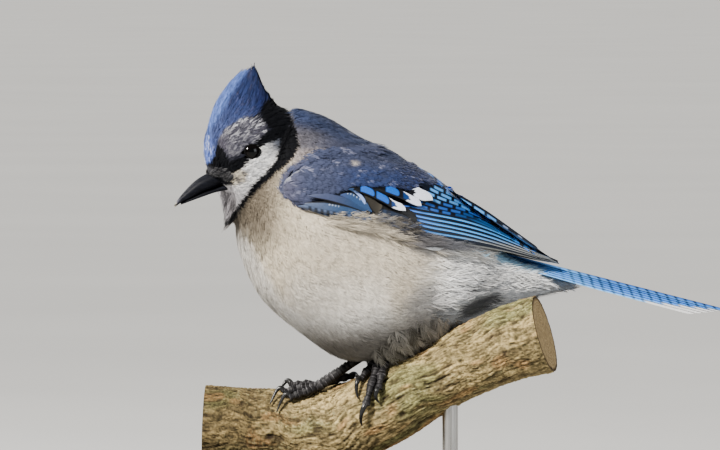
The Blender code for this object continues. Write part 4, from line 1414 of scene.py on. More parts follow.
def build_legs():
    scales = horn_material("leg scales", (0.46, 0.60), 0.1, Specular_IOR_Level=0.3)
    nail = horn_material("claw horn", (0.22, 0.4))
    sides = 32
    for foot, digits in TOES.items():
        root = on_perch(*FEET[foot], FOOT_HEIGHT)
        upper = [np.array(p) + (0, 0, DATUM) for p in SHANKS[foot]]
        shank = eased([root, *upper], 170)
        radii = TARSUS_RADIUS * (1 + 0.20 * smooth(8, 0, np.linspace(0, 30, len(shank))))
        parts = [scuted(shank, radii, sides, 2.1, np.array((-0.5, -0.85, 0.1)))]
        for digit in digits:
            path, radii = toe_path(foot, digit, 150)
            middle = path.mean(0)
            outward = unit(middle - perch_at(middle[0])[0] - (0, 0, DATUM))
            parts.append(scuted(path, radii, sides, 2.0, outward))
        sets = []
        for k, (rings, tone) in enumerate(parts):
            points, quads, tris = closed_tube(rings)
            tone = np.concatenate([tone.ravel(), [1, 1]])[:, None]
            tint = tone * shade("leg")
            low, high = (k + 0.02) / len(parts), (k + 0.98) / len(parts)
            uv = tube_uv(*rings.shape[:2], (0.0, low, 1.0, high))
            sets.append((points, quads, tris, tint, uv))
        points, quads, tris, tint, uv = joined(sets)
        made = build_mesh(f"scaled_leg_{foot}", points, quads, tris, tint, uv, scales)
        declare(made, "leg", f"leg_{foot}")
        for digit in digits:
            path, radii = claw_path(foot, digit, 40)
            points, quads, tris = closed_tube(tube_points(path, radii, 20))
            tone = np.full((len(points), 3), 0.016)
            name = f"nail_{foot}_{digit}"
            made = build_mesh(name, points, quads, tris, tone, tube_uv(40, 20), nail)
            declare(made, "claw", f"claw_{foot}_{digit}")


# Wings and tail


def wing_surface():
    """The left wing's surface, smoother than the frame's own."""
    if "wing" not in STORE:
        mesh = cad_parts["wing_left"].data.copy()
        bm = bmesh.new()
        bm.from_mesh(mesh)
        bmesh.ops.remove_doubles(bm, verts=bm.verts, dist=1e-6)
        bm.to_mesh(mesh)
        bm.free()
        steps = (("SUBSURF", {"levels": 2}), ("SMOOTH", {"factor": 0.5, "iterations": 6}))
        STORE["wing mesh"] = modified(mesh, steps)
        STORE["wing"] = Surface(points_of(STORE["wing mesh"]), faces_of(STORE["wing mesh"]))
    return STORE["wing"]


def vane(lower, width, colour, height, rows=130, columns=9, tip=0.06, start=0.04, narrow=0.0):
    """One flat feather on the wing from its lower edge in the side view and its width there."""
    line = eased(lower, rows)
    ahead = unit(np.gradient(line, axis=0))
    up = np.stack([ahead[:, 1], -ahead[:, 0]], -1)
    s = np.linspace(0, 1, rows)
    end = np.clip((s - (1 - tip)) / tip, 0, 1)
    root = np.clip(s / start, 0.0, 1)
    half = width / 2 * np.sqrt(np.clip(1 - end**2.4, 0, 1)) * root**0.6
    half = half * (1 - narrow * smooth(0.50, 1.0, s))
    w = np.linspace(-1, 1, columns)
    flat = line[:, None] + up[:, None] * (half[:, None] * (1 + w))[..., None]
    x, y = flat[..., 0], flat[..., 1]
    spots, normals = wing_surface().seen(
        (x.ravel() - VIEW_CENTRE[0]) / PIXELS, (VIEW_CENTRE[1] - y.ravel()) / PIXELS + DATUM
    )
    spots, normals = spots.reshape(rows, columns, 3), normals.reshape(rows, columns, 3)
    for _ in range(6):
        spots[1:-1, :, 1] = (spots[:-2, :, 1] + spots[1:-1, :, 1] * 2 + spots[2:, :, 1]) / 4
    level = height - 0.10 * w**2 - 0.10 * (w < -0.9)
    points = spots + np.array((0.0, -1.0, 0.0)) * level[None, :, None]
    tint = colour(x, (w[None] + 1) / 2 * np.ones_like(x), s[:, None] * np.ones_like(x))
    streak = 1 + 0.10 * np.sin(x * 4.1 + w * 9.0) * np.sin(x * 1.3 - w * 3.0)
    index = np.arange(rows * columns).reshape(rows, columns)
    quads = np.stack([index[:-1, :-1], index[:-1, 1:], index[1:, 1:], index[1:, :-1]], -1)
    tint = tint * streak[..., None]
    return points.reshape(-1, 3), quads.reshape(-1, 4), (), tint.reshape(-1, 3)


def patched(base, patches, edge=(0.0, 1.0), rounding=0.0, line=None):
    """Colour of a vane: a base colour, patches between places in the side view, and an edge line."""

    def colour(x, across, s):
        tint = np.broadcast_to(np.array(base, float), (*x.shape, 3)).copy()
        web = smooth(edge[0] - 0.06, edge[0] + 0.06, across) * smooth(edge[1] + 0.08, edge[1] - 0.08, across)
        for low, high, patch in patches:
            round_end = high - rounding * np.abs(across * 2 - 1.1) ** 3
            on = smooth(low - 0.6, low + 0.6, x) * smooth(round_end + 0.6, round_end - 0.6, x)
            tint = mix(tint, patch, on * web)
        if line:
            thin = smooth(0.04, 0.12, across) * smooth(0.44, 0.34, across)
            tint = mix(tint, line[1], thin * smooth(line[0] - 8, line[0] + 8, x))
        return tint

    return colour


def graded(start, end, low, high, edge, flecks=None, rim=(0.006, 0.006, 0.008)):
    """Colour of a vane: from one colour to another along the side view, between dark edges that are painted shadow in
    the gaps between feathers.
    """

    def colour(x, across, s):
        tint = mix(np.array(start), np.array(end), smooth(low, high, x))
        if flecks:
            first, last, place = flecks
            spot = smooth(0.2, 0.7, np.sin(x * 2.1)) * smooth(0.12, 0.06, np.abs(across - place))
            tint = mix(tint, (0.40, 0.46, 0.58), spot * smooth(first - 1, first + 1, x) * smooth(last + 1, last - 1, x))
        # The rim outside the web is painted shadow in the gap next to the neighbouring feather
        web = smooth(edge[0] - 0.05, edge[0] + 0.05, across) * smooth(edge[1] + 0.05, edge[1] - 0.05, across)
        return mix(np.array(rim), tint, web)

    return colour


def white_tipped(base, patches, start, notch):
    """Colour of a covert: patches, then a white tip that runs back along both edges."""
    plain = patched(base, patches, (0.20, 1.1), 4.0)

    def colour(x, across, s):
        jag = 0.9 * np.sin(across * 19.0) - notch * np.abs(across * 2 - 1) ** 1.7
        white = smooth(-0.6, 0.6, x - start - jag) * smooth(0.02, 0.10, across)
        return mix(plain(x, across, s), (0.80, 0.84, 0.93), white)

    return colour


def flight_layout():
    """Each flight feather's lower edge in the side view, its width and its colour."""
    sky, azure, black = shade("sky"), shade("azure"), shade("black")
    grey = np.array((0.42, 0.43, 0.42))
    stripes = (
        ((410, 230.5), (430, 236.3), (450, 240.4), (470, 244.3), (490, 248.2), (510, 252.6), (530, 258.0), (545, 262.0), (560, 265.0)),
        ((404, 224.0), (430, 231.6), (450, 235.6), (470, 239.6), (490, 244.4), (510, 250.2), (530, 256.2), (545, 260.8), (559.5, 264.6)),
        ((402, 219.5), (430, 226.8), (450, 230.8), (470, 235.8), (490, 241.6), (510, 248.0), (530, 254.6), (545, 259.7), (559, 264.3)),
        ((402, 215.5), (430, 222.6), (450, 227.0), (470, 231.9), (490, 238.1), (510, 245.4), (530, 253.0), (545, 258.7), (558.5, 264.0)),
        ((400, 211.6), (430, 218.4), (450, 222.7), (470, 227.6), (490, 234.2), (510, 242.4), (530, 251.3), (545, 257.8), (558, 263.7)),
        ((398, 207.4), (430, 213.8), (450, 218.0), (470, 223.4), (490, 230.6), (510, 239.6), (530, 249.6), (543, 256.0), (555, 262.0)),
        ((398, 203.6), (430, 209.6), (450, 213.4), (470, 219.0), (490, 226.6), (510, 236.4), (528, 246.8), (540, 253.5), (550, 259.0)),
    )
    rows = []
    for k, line in enumerate(stripes):
        fade = (420, 470, 490, 505, 520, 535, 545)[k]
        thick = (0.22, 0.38, 0.42, 0.44, 0.42, 0.40, 0.32)[k]
        outer = sky * (1.0, 0.94, 1.0, 0.96, 1.0, 0.9, 0.7)[k]

        def colour(x, across, s, fade=fade, thick=thick, outer=outer):
            narrow = 0.80 * thick * (1 - 0.25 * smooth(440, 500, x))
            # Blue outer web along the lower edge; the dark above it is partly the black inner web, partly painted
            # shadow under the next feather
            lit = smooth(narrow + 0.05, narrow - 0.05, across)
            shine = mix(outer, (0.20, 0.58, 1.0), smooth(0.05, 0.25, across) * smooth(425, 465, x) * 0.55)
            shine = mix(outer * (0.8, 0.62, 0.9), shine, smooth(405, 440, x))
            shine = mix(shine, grey, smooth(fade - 16, fade + 16, x))
            return mix((0.003, 0.008, 0.022), shine, lit)

        rows.append((line, 7.2, colour, 0.0, 0.04, 0.80))
    cyan, mid, dusk = np.array((0.15, 0.43, 0.90)), azure * (1.4, 1.05, 0.95), azure * (0.6, 0.6, 0.5)
    pale, steel = np.array((0.22, 0.28, 0.42)), azure * (0.9, 0.8, 0.55)
    bars = np.array((0.003, 0.006, 0.015))
    lanes = (
        (((408, 201.5), (430, 209.0), (449, 213.8), (463, 217.2), (482, 224.2), (505, 235.2), (527, 247.2), (539, 253)),
         ((408, 414, mid), (417, 427, mid), (430, 438, mid), (442, 450, mid), (455, 466, dusk)), (470, steel)),
        (((410, 198), (438, 207.4), (452, 211.2), (463.5, 214.4), (480, 221.0), (505, 233.2), (527, 245.9), (538, 252)),
         ((413, 422, mid), (425, 434, mid), (438, 447, mid), (450.5, 460, mid), (463, 473, dusk)), (477, steel)),
        (((414, 192), (440, 203.2), (452, 207.2), (464.5, 211.2), (484, 219.9), (505, 231.3), (526, 244.5), (537, 251)),
         ((420, 428, mid), (431.5, 440, cyan * 0.8), (443, 452, mid), (455.5, 465, mid), (468.5, 478, mid)), (483, steel * 0.9)),
        (((416, 188.5), (428, 193.5), (441, 199.2), (453.5, 203.8), (462, 207.6), (474.5, 213.8), (490, 222.2), (512, 234.9), (534, 248.6)),
         ((427, 434, cyan), (437, 446, cyan), (449, 458, cyan * 0.8), (461, 470, cyan * 0.8), (474, 482, mid)), (487, steel * 0.8)),
        (((418, 183), (432, 190.6), (448.5, 198.6), (457, 202.4), (467.5, 207.4), (482, 215.6), (495, 223.0), (513, 234.0), (534, 248)),
         ((430, 438, cyan), (441, 451, cyan), (454, 465, cyan), (468, 476, cyan), (480, 490, mid)), (496, steel * 0.7)),
        (((420, 178.5), (434, 187.6), (445, 193.0), (460.5, 200.6), (474, 208.6), (488, 217.2), (503, 226.8), (518, 236.5), (538, 250.5)),
         ((434, 443, cyan), (446, 457, cyan), (460, 471, cyan), (474, 484, cyan), (487, 496, cyan * 0.8), (503, 508, pale), (518, 522, pale)),
         (530, steel * 0.3)),
    )
    for line, patches, end in lanes:
        rows.append((line, 5.2, patched(bars, patches, (0.12, 0.54), 0.0, end), 0.05, 0.06, 0.55))
    return rows


def cover_layout():
    """The coverts, thumb feathers and edge feathers of the wing, as in the flight layout."""
    azure, black = shade("azure"), shade("black")
    navy, dull = np.array((0.014, 0.020, 0.038)), np.array((0.055, 0.075, 0.125))
    steel, light = np.array((0.028, 0.046, 0.092)), np.array((0.036, 0.076, 0.16))
    bright = np.array((0.034, 0.074, 0.17))
    olive = np.array((0.040, 0.034, 0.024))
    streaks = ((380, 386, steel * 0.9), (390, 398, steel * 0.6))
    bars = [(309 + 6 * k, 312 + 6 * k, dull * 0.5) for k in range(8)]
    coverts = (
        (((353, 187.2), (361, 190.0), (369, 193.2), (377, 197.2), (384, 200.8), (391, 205.0), (399, 208.0), (405.5, 208.4)),
         7.6, white_tipped(black, ((360.7, 374.3, azure * 1.1), (376.5, 388.7, azure), (391.5, 396, azure * 0.35)), 396.5, 7.5), 0.25),
        (((378, 187.5), (386, 190.6), (393, 193.4), (400, 196.0), (406, 199.0), (412, 202.0), (417, 203.8), (421, 203.8)),
         7.6, white_tipped(black, ((385.7, 399, azure), (403, 409.5, azure * 0.35)), 410.0, 7.0), 0.25),
        (((407, 191.0), (413, 194.5), (418, 197.4), (424, 199.2), (432.5, 198.8)),
         10.5, white_tipped(black, (), 415.0, 3.0), 0.30),
    )
    rows = [
        (((366, 212.5), (390, 220.5), (408, 227.5), (419.5, 234)), 8.6, patched(navy, ()), 0.05, 0.05, 0.0, 0.16),
        (((368, 209), (392, 214.5), (406, 220), (417, 228)), 8.0, patched(navy, streaks, (0.1, 0.8)), 0.1, 0.05, 0.0, 0.16),
        (((376, 205), (394, 209), (405, 213), (414, 221)), 7.0, patched((0.010, 0.009, 0.009), ()), 0.1, 0.05, 0.0, 0.16),
        (((298, 203.5), (314, 208.8), (327, 212.8), (340, 215.4), (356, 217.0), (372, 217.5)), 6.5,
         patched(dull * 1.8, bars), 0.05, 0.20, 0.0, 0.2),
        (((304, 201.5), (316.6, 204.9), (331, 207.8), (345, 210.4), (356, 212.0), (367, 212.8)), 8.4,
         graded(dull * 1.6, light, 316, 345, (-0.2, 0.80), (328, 340, 0.70)), 0.12, 0.30, 0.2, 0.2),
        (((308, 193.5), (322, 196.6), (333, 199.3), (345, 202.8), (355, 206.4), (366, 210.6)), 7.6,
         graded((0.060, 0.076, 0.145), bright * 0.75, 330, 358, (0.16, 1.2)), 0.10, 0.30, 0.0, 0.2),
        (((340, 192.5), (349, 196.5), (357, 201.5), (364, 206.0), (371.5, 209.5)), 8.0,
         graded((0.055, 0.085, 0.20), bright, 342, 354, (-0.2, 0.86), (346, 368, 0.74)), 0.10, 0.25, 0.0, 0.14),
        (((348, 186.5), (354, 189.5), (359.5, 194.5), (364.5, 201.5)), 5.0,
         graded(bright * 0.9, (0.26, 0.36, 0.66), 352, 359, (-0.2, 0.62)), 0.10, 0.2, 0.0, 0.2),
        (((363.5, 191.0), (366.5, 198), (370.5, 206.0), (375, 212.0)), 12.0,
         graded(olive * 0.8, olive * 1.6, 374, 383, (0.12, 1.2)), 0.1, 0.9, 0.0, 0.2),
        (((424, 246.0), (432, 248.0), (442, 248.6), (450, 248.0)), 3.4, patched((0.55, 0.56, 0.58), ()), 0.05, 0.3, 0.4, 0.3),
        (coverts[2][0], coverts[2][1], coverts[2][2], coverts[2][3], 0.25, 0.0, 0.3),
        (coverts[1][0], coverts[1][1], coverts[1][2], coverts[1][3], 0.18, 0.0, 0.2),
        (coverts[0][0], coverts[0][1], coverts[0][2], coverts[0][3], 0.18, 0.0, 0.2),
    ]
    return rows


def slotted(part, count, rows, columns):
    """The map places of one vane, in its own slot of the unit square."""
    wide = max(1, int(math.sqrt(count / 5)))
    high = math.ceil(count / wide)
    s, w = np.meshgrid(np.linspace(0.02, 0.98, rows), np.linspace(0.06, 0.94, columns), indexing="ij")
    c, r = part % wide, part // wide
    return np.stack([(c + s) / wide, (r + w) / high], -1).reshape(-1, 2)


def build_wings():
    finish = tinted_material(
        "flight feathers", (1500.0, 2.0, (1.0, 1.0, 2.5)), 0.86, 1.08, (0.34, 0.52), 0.05
    )
    wing_surface()
    base, level = STORE["wing mesh"], 0.25
    inner = points_of(base) - normals_of(base) * 0.35
    x, y = seen_at(inner, BODY)
    tint = mix(shade("shoulder") * 0.8, (0.012, 0.014, 0.02), smooth(330, 350, x - (y - 190)))
    sets = {"flight": [], "cover": []}
    for label, layout in (("flight", flight_layout()), ("cover", cover_layout())):
        for k, (line, width, colour, gap, start, narrow, *tip) in enumerate(layout):
            level += size("vane_step") + gap
            rows, columns = (150, 9) if label == "flight" else (100, 15)
            part = vane(line, width, colour, level, rows, columns, (*tip, 0.03)[0], start, narrow)
            sets[label].append((*part, slotted(k, len(layout), rows, columns)))
    for side, flip in (("left", lambda p: p), ("right", mirrored)):
        name = f"wing_base_{side}"
        made = build_mesh(name, flip(inner), *parted(faces_of(base)), tint, BODY_UNWRAP(inner), finish)
        declare(made, "wing", f"wing_{side}")
        for label, parts in sets.items():
            points, quads, tris, tone, uv = joined(parts)
            made = build_mesh(f"wing_{label}_{side}", flip(points), quads, tris, tone, uv, finish)
            declare(made, "wing")


SHOULDER_AREA = (
    (279, 186), (284, 174), (292, 163), (303, 155), (320, 152), (336, 151), (345, 149), (372, 145),
    (398, 157), (418, 169), (429, 178), (418, 179), (406, 181), (398, 183.5), (388, 181),
    (378, 180.5), (364, 180), (351, 180.5), (344, 182), (334, 185), (322, 190), (311, 192),
    (304, 198), (298, 203), (292, 202), (285, 196),
)


def shoulder_colour(places, random, own):
    x, y = seen_at(places, BODY)
    base = shade("shoulder")
    tint = mix(base, base * (1.25, 1.08, 0.95), smooth(312, 285, x))
    tint = mix(tint, base * (0.62, 0.80, 1.12), smooth(330, 365, x) * smooth(156, 176, y))
    tint = mix(tint, base * (0.48, 0.60, 0.95), smooth(385, 420, x) * 0.8)
    tint = mix(tint, base * 0.7, smooth(0.25, 0.0, own) * 0.6)
    fleck = smooth(0.86, 0.98, own) * (random.random(x.shape) > 0.4) * smooth(210, 175, y)
    tint = mix(tint, (0.30, 0.31, 0.42), fleck * 0.7)
    spot = np.exp(-((x - 356) ** 2 / 14 + (y - 161.5) ** 2 / 5))
    tint = mix(tint, (0.55, 0.50, 0.45), spot * 0.9)
    streak = smooth(395, 402, x) * smooth(424, 418, x) * (random.random(x.shape) > 0.75)
    return mix(tint, (0.012, 0.012, 0.018), streak * smooth(158, 166, y) * 0.8)


def shoulder_flow(places, normals):
    x, y = seen_at(places, BODY)
    slope = -0.22 - 0.25 * smooth(330, 420, x) - 0.45 * smooth(312, 280, x) * smooth(190, 172, y)
    way = BODY.turned(np.stack([np.ones_like(slope), np.zeros_like(slope), slope], -1))
    return unit(way - normals * np.sum(way * normals, -1, keepdims=True))


def on_shoulder(places):
    x, y = seen_at(places, BODY)
    _, normals = wing_surface().nearest(places)
    outward = (normals * BODY.turned((0, 1, 0.4))).sum(-1) > 0.05
    upward = (normals * BODY.turned((0, 0, 1))).sum(-1) > 0.15
    return (within(x, y, SHOULDER_AREA, 0.5) > 0.5) & (outward | upward)


def on_tertials(places):
    x, _ = seen_at(places, BODY)
    _, normals = wing_surface().nearest(places)
    outward = (normals * BODY.turned((0, 1, 0))).sum(-1)
    upward = (normals * BODY.turned((0, 0, 1))).sum(-1)
    return (x > 392) & (x < 512) & (outward < 0.45) & (upward > 0.05)


def tertial_flow(places, normals):
    way = np.broadcast_to(unit(BODY.turned((1.0, 0.0, -0.58))), places.shape)
    return unit(way - normals * np.sum(way * normals, -1, keepdims=True))


def tertial_colour(places, random, own):
    q = BODY.into(places)
    far = q[:, 0] + 0.30 * np.abs(q[:, 1]) + random.normal(0, 0.10, len(q))
    bar = smooth(1.15, 1.35, np.abs(far % 4.4 - 2.2))
    blue = mix(shade("azure") * 1.6, shade("sky") * 0.9, smooth(0.2, 0.9, own))
    return mix(blue, (0.004, 0.007, 0.016), bar)


def build_shoulders():
    finish = plume_material("shoulder plumage", Sheen_Weight=0.1)
    changes = {"length": 6.6, "half_width": 1.8, "barbs": 24, "wide": 0.72, "depth": 0.3, "lift": 0.7,
               "fuzz": 0.04, "ragged": 0.06, "barb_tone": 0.06, "feather_tone": 0.04, "rise": 0.6,
               "shade": 0.2, "cup": 0.05}
    barred = {**changes, "length": 12.0, "half_width": 2.8, "barbs": 60, "lift": 0.30, "depth": 0.15,
              "wobble": 0.02, "fuzz": 0.02, "reach": 0.22, "base": 0.15, "wide": 1.1, "shade": 0.1}
    coat("coat_tertials", 2.1, on_tertials, barred, finish, 41, BODY_UNWRAP, tertial_colour,
         tertial_flow, "wing", wing_surface(), (False, True))
    coat("coat_shoulder", 1.35, on_shoulder, changes, finish, 40, BODY_UNWRAP, shoulder_colour,
         shoulder_flow, "wing", wing_surface(), (False, True))


def build_tail():
    finish = tinted_material(
        "tail feathers", (1500.0, 2.0, (1.0, 1.0, 2.5)), 0.86, 1.08, (0.50, 0.66), 0.05,
        Specular_IOR_Level=0.18,
    )
    pitch, roll = math.radians(TAIL_PITCH), math.radians(TAIL_ROLL)
    blue, black = shade("tail"), shade("black")
    rows, columns = 170, 13
    s = np.linspace(0, 1, rows)[:, None]
    w = np.linspace(-1, 1, columns)[None]
    sets = []
    feathers = [(k, sign) for k in range(5, -1, -1) for sign in (-1, 1)]
    for number, (k, sign) in enumerate(feathers):
        long = TAIL_LENGTH * (1 - 0.018 * k - 0.002 * k * k)
        far = s * long
        middle = sign * (0.6 + (0.9 + 1.2 * s) * k)
        half = 3.2 + 3.0 * smooth(0.0, 0.6, s)
        end = np.clip(1 - np.clip((s - 0.93) / 0.07, 0, 1) ** 2.4, 0, 1) ** 0.5
        left = middle + w * half * end
        roof = -2.6 * (left / 16.0) ** 2 - left * math.tan(roll)
        height = (2.5 - k) * size("tail_step") * (1 - 0.45 * s) - 0.12 * w**2
        rear = np.broadcast_to(TAIL_ROOT[0] + far * math.cos(pitch), left.shape)
        up = TAIL_ROOT[1] - far * math.sin(pitch) - 1.9 + height + roof
        outer = w * sign * np.ones_like(left)
        far = far * np.ones_like(left)
        tint = np.broadcast_to(blue * (0.85 + 0.07 * k), (*left.shape, 3))
        pale = smooth(0.55, 0.95, outer) * (0.45, 0.25, 0.35, 0.35, 0.6, 0.95)[k]
        tint = mix(tint, (0.34, 0.66, 1.0), pale)
        streak = 0.75 + 0.25 * np.sin(w * 23.0 + k)
        # The tail's root painted lighter blue, as painted light against the shadow of the wing tips
        tint = mix(tint, np.array((0.24, 0.56, 1.0)), smooth(66, 44, far) * 0.85 * streak)
        tint = mix(tint, (0.04, 0.055, 0.10), smooth(0.0, -0.45, outer) * (0.0 if k == 0 else 0.8))
        wave = np.abs((far + 0.8 * np.sin(outer * 2.0) + 100) % 4.6 - 2.3)
        bar = smooth(1.45, 1.75, wave) * smooth(34, 52, far) * (0.92 if k < 4 else 0.7)
        bar = bar * (1 - 0.45 * smooth(0.55, 0.85, outer))
        tint = mix(tint, (0.008, 0.012, 0.026), bar)
        if k:
            white = 4 + 4.4 * k
            tint = mix(tint, (0.78, 0.78, 0.78), smooth(-1.5, 1.5, far - (long - white) - 2 * outer))
        tint = mix(tint, black, smooth(0.12, 0.04, np.abs(w)) * 0.8 * np.ones_like(left))
        index = np.arange(rows * columns).reshape(rows, columns)
        quads = np.stack([index[:-1, :-1], index[:-1, 1:], index[1:, 1:], index[1:, :-1]], -1)
        points = BODY.out(np.stack([rear, left, up], -1)).reshape(-1, 3)
        sets.append((points, quads, (), tint.reshape(-1, 3), slotted(number, 12, rows, columns)))
    points, quads, tris, tint, uv = joined(sets)
    declare(build_mesh("tail_feathers", points, quads, tris, tint, uv, finish), "tail", "tail")


# Perch, stand and stage


KNOTS = ((77.0, 55.0, 4.2), (49.0, 62.0, 3.4), (20.0, 120.0, 5.0), (-38.0, 100.0, 4.5), (-52.0, 50.0, 3.0),
         (66.0, 100.0, 3.4), (10.0, 250.0, 5.0))


def build_perch():
    bark = tinted_material(
        "bark", (750.0, 6.0), 0.62, 1.22, (0.8, 0.95), 0.35, Specular_IOR_Level=0.2
    )
    count, sides = 430, 216
    stations = np.linspace(PERCH[0][0], PERCH[-1][0], count)
    angles = np.linspace(0, 360, sides, endpoint=False)
    turn = np.radians(angles)
    station, around = np.meshgrid(stations, turn, indexing="ij")
    wave = around + 0.12 * np.sin(station * 0.09) + 0.05 * np.sin(station * 0.31)

    def grain(along, across, seed):
        p = np.stack([station * along, np.cos(wave) * across, np.sin(wave) * across], -1)
        return value_noise(p, 1.0, seed)

    lump, fibre, fine = grain(0.05, 1.4, 1), grain(0.12, 7.0, 2), grain(0.28, 15.0, 3)
    hair, grit = grain(0.45, 32.0, 4), grain(1.3, 26.0, 5)
    crack = smooth(0.34, 0.62, -grain(0.085, 9.0, 6)) * smooth(-0.3, 0.2, grain(0.07, 2.0, 7))
    slit = smooth(0.45, 0.70, -grain(0.2, 21.0, 8))
    flake, speck = grain(0.8, 40.0, 14), grain(2.3, 34.0, 15)
    relief = 0.8 * lump + 0.20 * fibre + 0.22 * fine + 0.26 * hair + 0.26 * grit
    relief = relief + 0.16 * flake + 0.12 * speck - 0.5 * crack - 0.4 * slit
    knot = np.zeros_like(station)
    for at, angle, radius in KNOTS:
        away = np.hypot(station - at, (np.degrees(around) - angle) * 0.30) / radius
        away = away * (1 + 0.15 * fibre)
        relief = relief + 1.1 * np.exp(-(away**2) * 1.6) - 1.5 * np.exp(-(away**2) * 14)
        relief = relief + 0.25 * np.sin(away * 13) * np.exp(-(away**2) * 1.5)
        knot = np.maximum(knot, np.exp(-(away**2) * 9))
    depth = relief * size("bark_relief") - 0.5
    tan = shade("bark")
    left = smooth(-10, -50, station)
    tone = mix(tan * 0.80, tan * (1.22, 1.20, 1.16), smooth(-0.6, 0.6, fibre + 0.7 * fine))
    tone = mix(tone, tan * (0.60, 0.76, 0.66), smooth(0.0, 0.5, grain(0.045, 1.7, 9)) * 0.75)
    tone = mix(tone, tan * (1.10, 0.86, 0.78), smooth(0.25, 0.6, grain(0.11, 3.2, 10)) * 0.7)
    lichen = smooth(0.62, 0.80, grit + 0.6 * grain(0.06, 1.9, 11))
    tone = mix(tone, (0.40, 0.38, 0.22), lichen * 0.5)
    tone = mix(tone, tan * 0.36, smooth(0.05, 0.55, -hair) * 0.7)
    tone = tone * (1 + 0.55 * np.clip(hair, -0.6, 0.8) + 0.40 * flake + 0.30 * speck)[..., None]
    tone = mix(tone, (0.075, 0.068, 0.030), smooth(0.25, 0.6, -grit - 0.4 * flake) * 0.5)
    tone = tone * mix(np.ones(3), (0.50, 0.485, 0.47), left)
    tone = mix(tone, (0.045, 0.032, 0.020), np.clip(0.75 * crack + 0.5 * slit + 0.85 * knot, 0, 1))
    points = np.array([round_perch(x, angles, d) for x, d in zip(stations, depth)])
    grid = np.meshgrid(np.linspace(0, 1, count), np.arange(sides) / sides, indexing="ij")
    uv = np.stack(grid, -1).reshape(-1, 2)
    quads = ring_faces(count, sides)
    made = build_mesh("bark", points.reshape(-1, 3), quads, (), tone.reshape(-1, 3), uv, bark)
    declare(made, "bark", "perch")
    sets = []
    f = np.linspace(1.0, 0.0, 30)[:, None]
    polar = np.stack([np.cos(turn), np.sin(turn)], -1)
    for k, edge in enumerate((points[0], points[-1])):
        centre = edge.mean(0)
        disc = centre + (edge - centre) * f[..., None]
        r = np.linalg.norm(edge - centre, axis=1).mean() * f + 0.5 * value_noise(disc, 0.12, 12)
        ring = smooth(0.2, 0.95, 0.5 + 0.5 * np.sin(r * 2 * math.pi / 1.35))
        tint = mix((0.40, 0.28, 0.14), (0.56, 0.43, 0.25), ring)
        tint = mix(tint, (0.10, 0.07, 0.04), smooth(0.90, 0.95, f) * np.ones_like(r))
        uv = np.array((0.25 + 0.5 * k, 0.5)) + polar * f[..., None] * 0.24
        sets.append((disc.reshape(-1, 3), ring_faces(30, sides), (), tint.reshape(-1, 3), uv.reshape(-1, 2)))
    points, quads, tris, tint, uv = joined(sets)
    declare(build_mesh("cut_ends", points, quads, tris, tint, uv, bark), "bark")


def build_stand():
    wood, tree, shader = node_setup("satin walnut")
    grain = texture(tree, 1.0, 6.0, (18.0, 160.0, 160.0))
    tone = shade("walnut")
    colour = ramp(tree, grain, ((0.3, tone * 0.45), (0.7, tone * 1.3)))
    put(shader.inputs["Base Color"], colour, tree)
    rough = add_node(tree, "ShaderNodeMapRange", {"Value": grain, "To Min": 0.30, "To Max": 0.46})
    put(shader.inputs["Roughness"], rough.outputs[0], tree)
    steel, tree, shader = node_setup("satin steel")
    fine = texture(tree, 1.0, 2.0, (1500.0, 1500.0, 60.0))
    tone = shade("steel")
    put(shader.inputs["Base Color"], ramp(tree, fine, ((0.3, tone * 0.9), (0.7, tone * 1.1))), tree)
    rough = add_node(tree, "ShaderNodeMapRange", {"Value": fine, "To Min": 0.22, "To Max": 0.38})
    put(shader.inputs["Roughness"], rough.outputs[0], tree)
    shader.inputs["Metallic"].default_value = 1.0
    for node, finish in (("stand_base", wood), ("stand_rod_front", steel), ("stand_rod_back", steel)):
        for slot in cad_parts[node].material_slots:
            slot.material = finish


# Each light: kind, place, size (an angle for the sun), strength and colour.
LAMPS = {
    "key": ("SUN", (-0.88, -1.06, 1.25), 0.18, 5.9, (1.0, 0.96, 0.90)),
    "fill": ("AREA", (1.6, -1.1, 0.8), 1.0, 10.5, (0.94, 0.97, 1.0)),
    "rim": ("AREA", (-0.9, 0.55, 0.9), 0.4, 9.0, (1.0, 0.98, 0.95)),
}


def build_stage():
    scene = bpy.context.scene
    made, tree, shader = node_setup("backdrop")
    soft = texture(tree, 3.0, 1.0)
    tone = shade("studio")
    put(shader.inputs["Base Color"], ramp(tree, soft, ((0.3, tone * 0.98), (0.7, tone * 1.02))), tree)
    shader.inputs["Roughness"].default_value = 0.9
    far = 30000.0
    points = np.array([(-far, -far, 0.0), (far, -far, 0.0), (far, far, 0.0), (-far, far, 0.0)])
    build_mesh("floor", points, [(0, 1, 2, 3)], finish=made)
    for name, (kind, place, width, energy, colour) in LAMPS.items():
        data = bpy.data.lights.new(name, kind)
        data.energy, data.color = energy, colour
        setattr(data, "angle" if kind == "SUN" else "size", width)
        lamp = bpy.data.objects.new(name, data)
        lamp.location = place
        aim = Vector((0, 0, DATUM * MM)) - Vector(place)
        lamp.rotation_euler = aim.to_track_quat("-Z", "Y").to_euler()
        scene.collection.objects.link(lamp)
    world = bpy.data.worlds.new("studio")
    scene.world = world
    world.use_nodes = True
    back = world.node_tree.nodes["Background"]
    back.inputs["Color"].default_value = (0.78, 0.84, 0.95, 1.0)
    back.inputs["Strength"].default_value = 0.20
    data = bpy.data.cameras.new("camera")
    data.lens, data.sensor_width, data.clip_end = 450.0, 36.0, 50.0
    camera = bpy.data.objects.new("camera", data)
    scene.collection.objects.link(camera)
    rise = math.radians(2.0)
    target = Vector((0, 0, DATUM * MM))
    camera.location = target + Vector((0, -math.cos(rise), math.sin(rise))) * 4.0
    camera.rotation_euler = (target - camera.location).to_track_quat("-Z", "Y").to_euler()
    scene.camera = camera
    scene.view_settings.look = "AgX - Medium High Contrast"


# The add-on


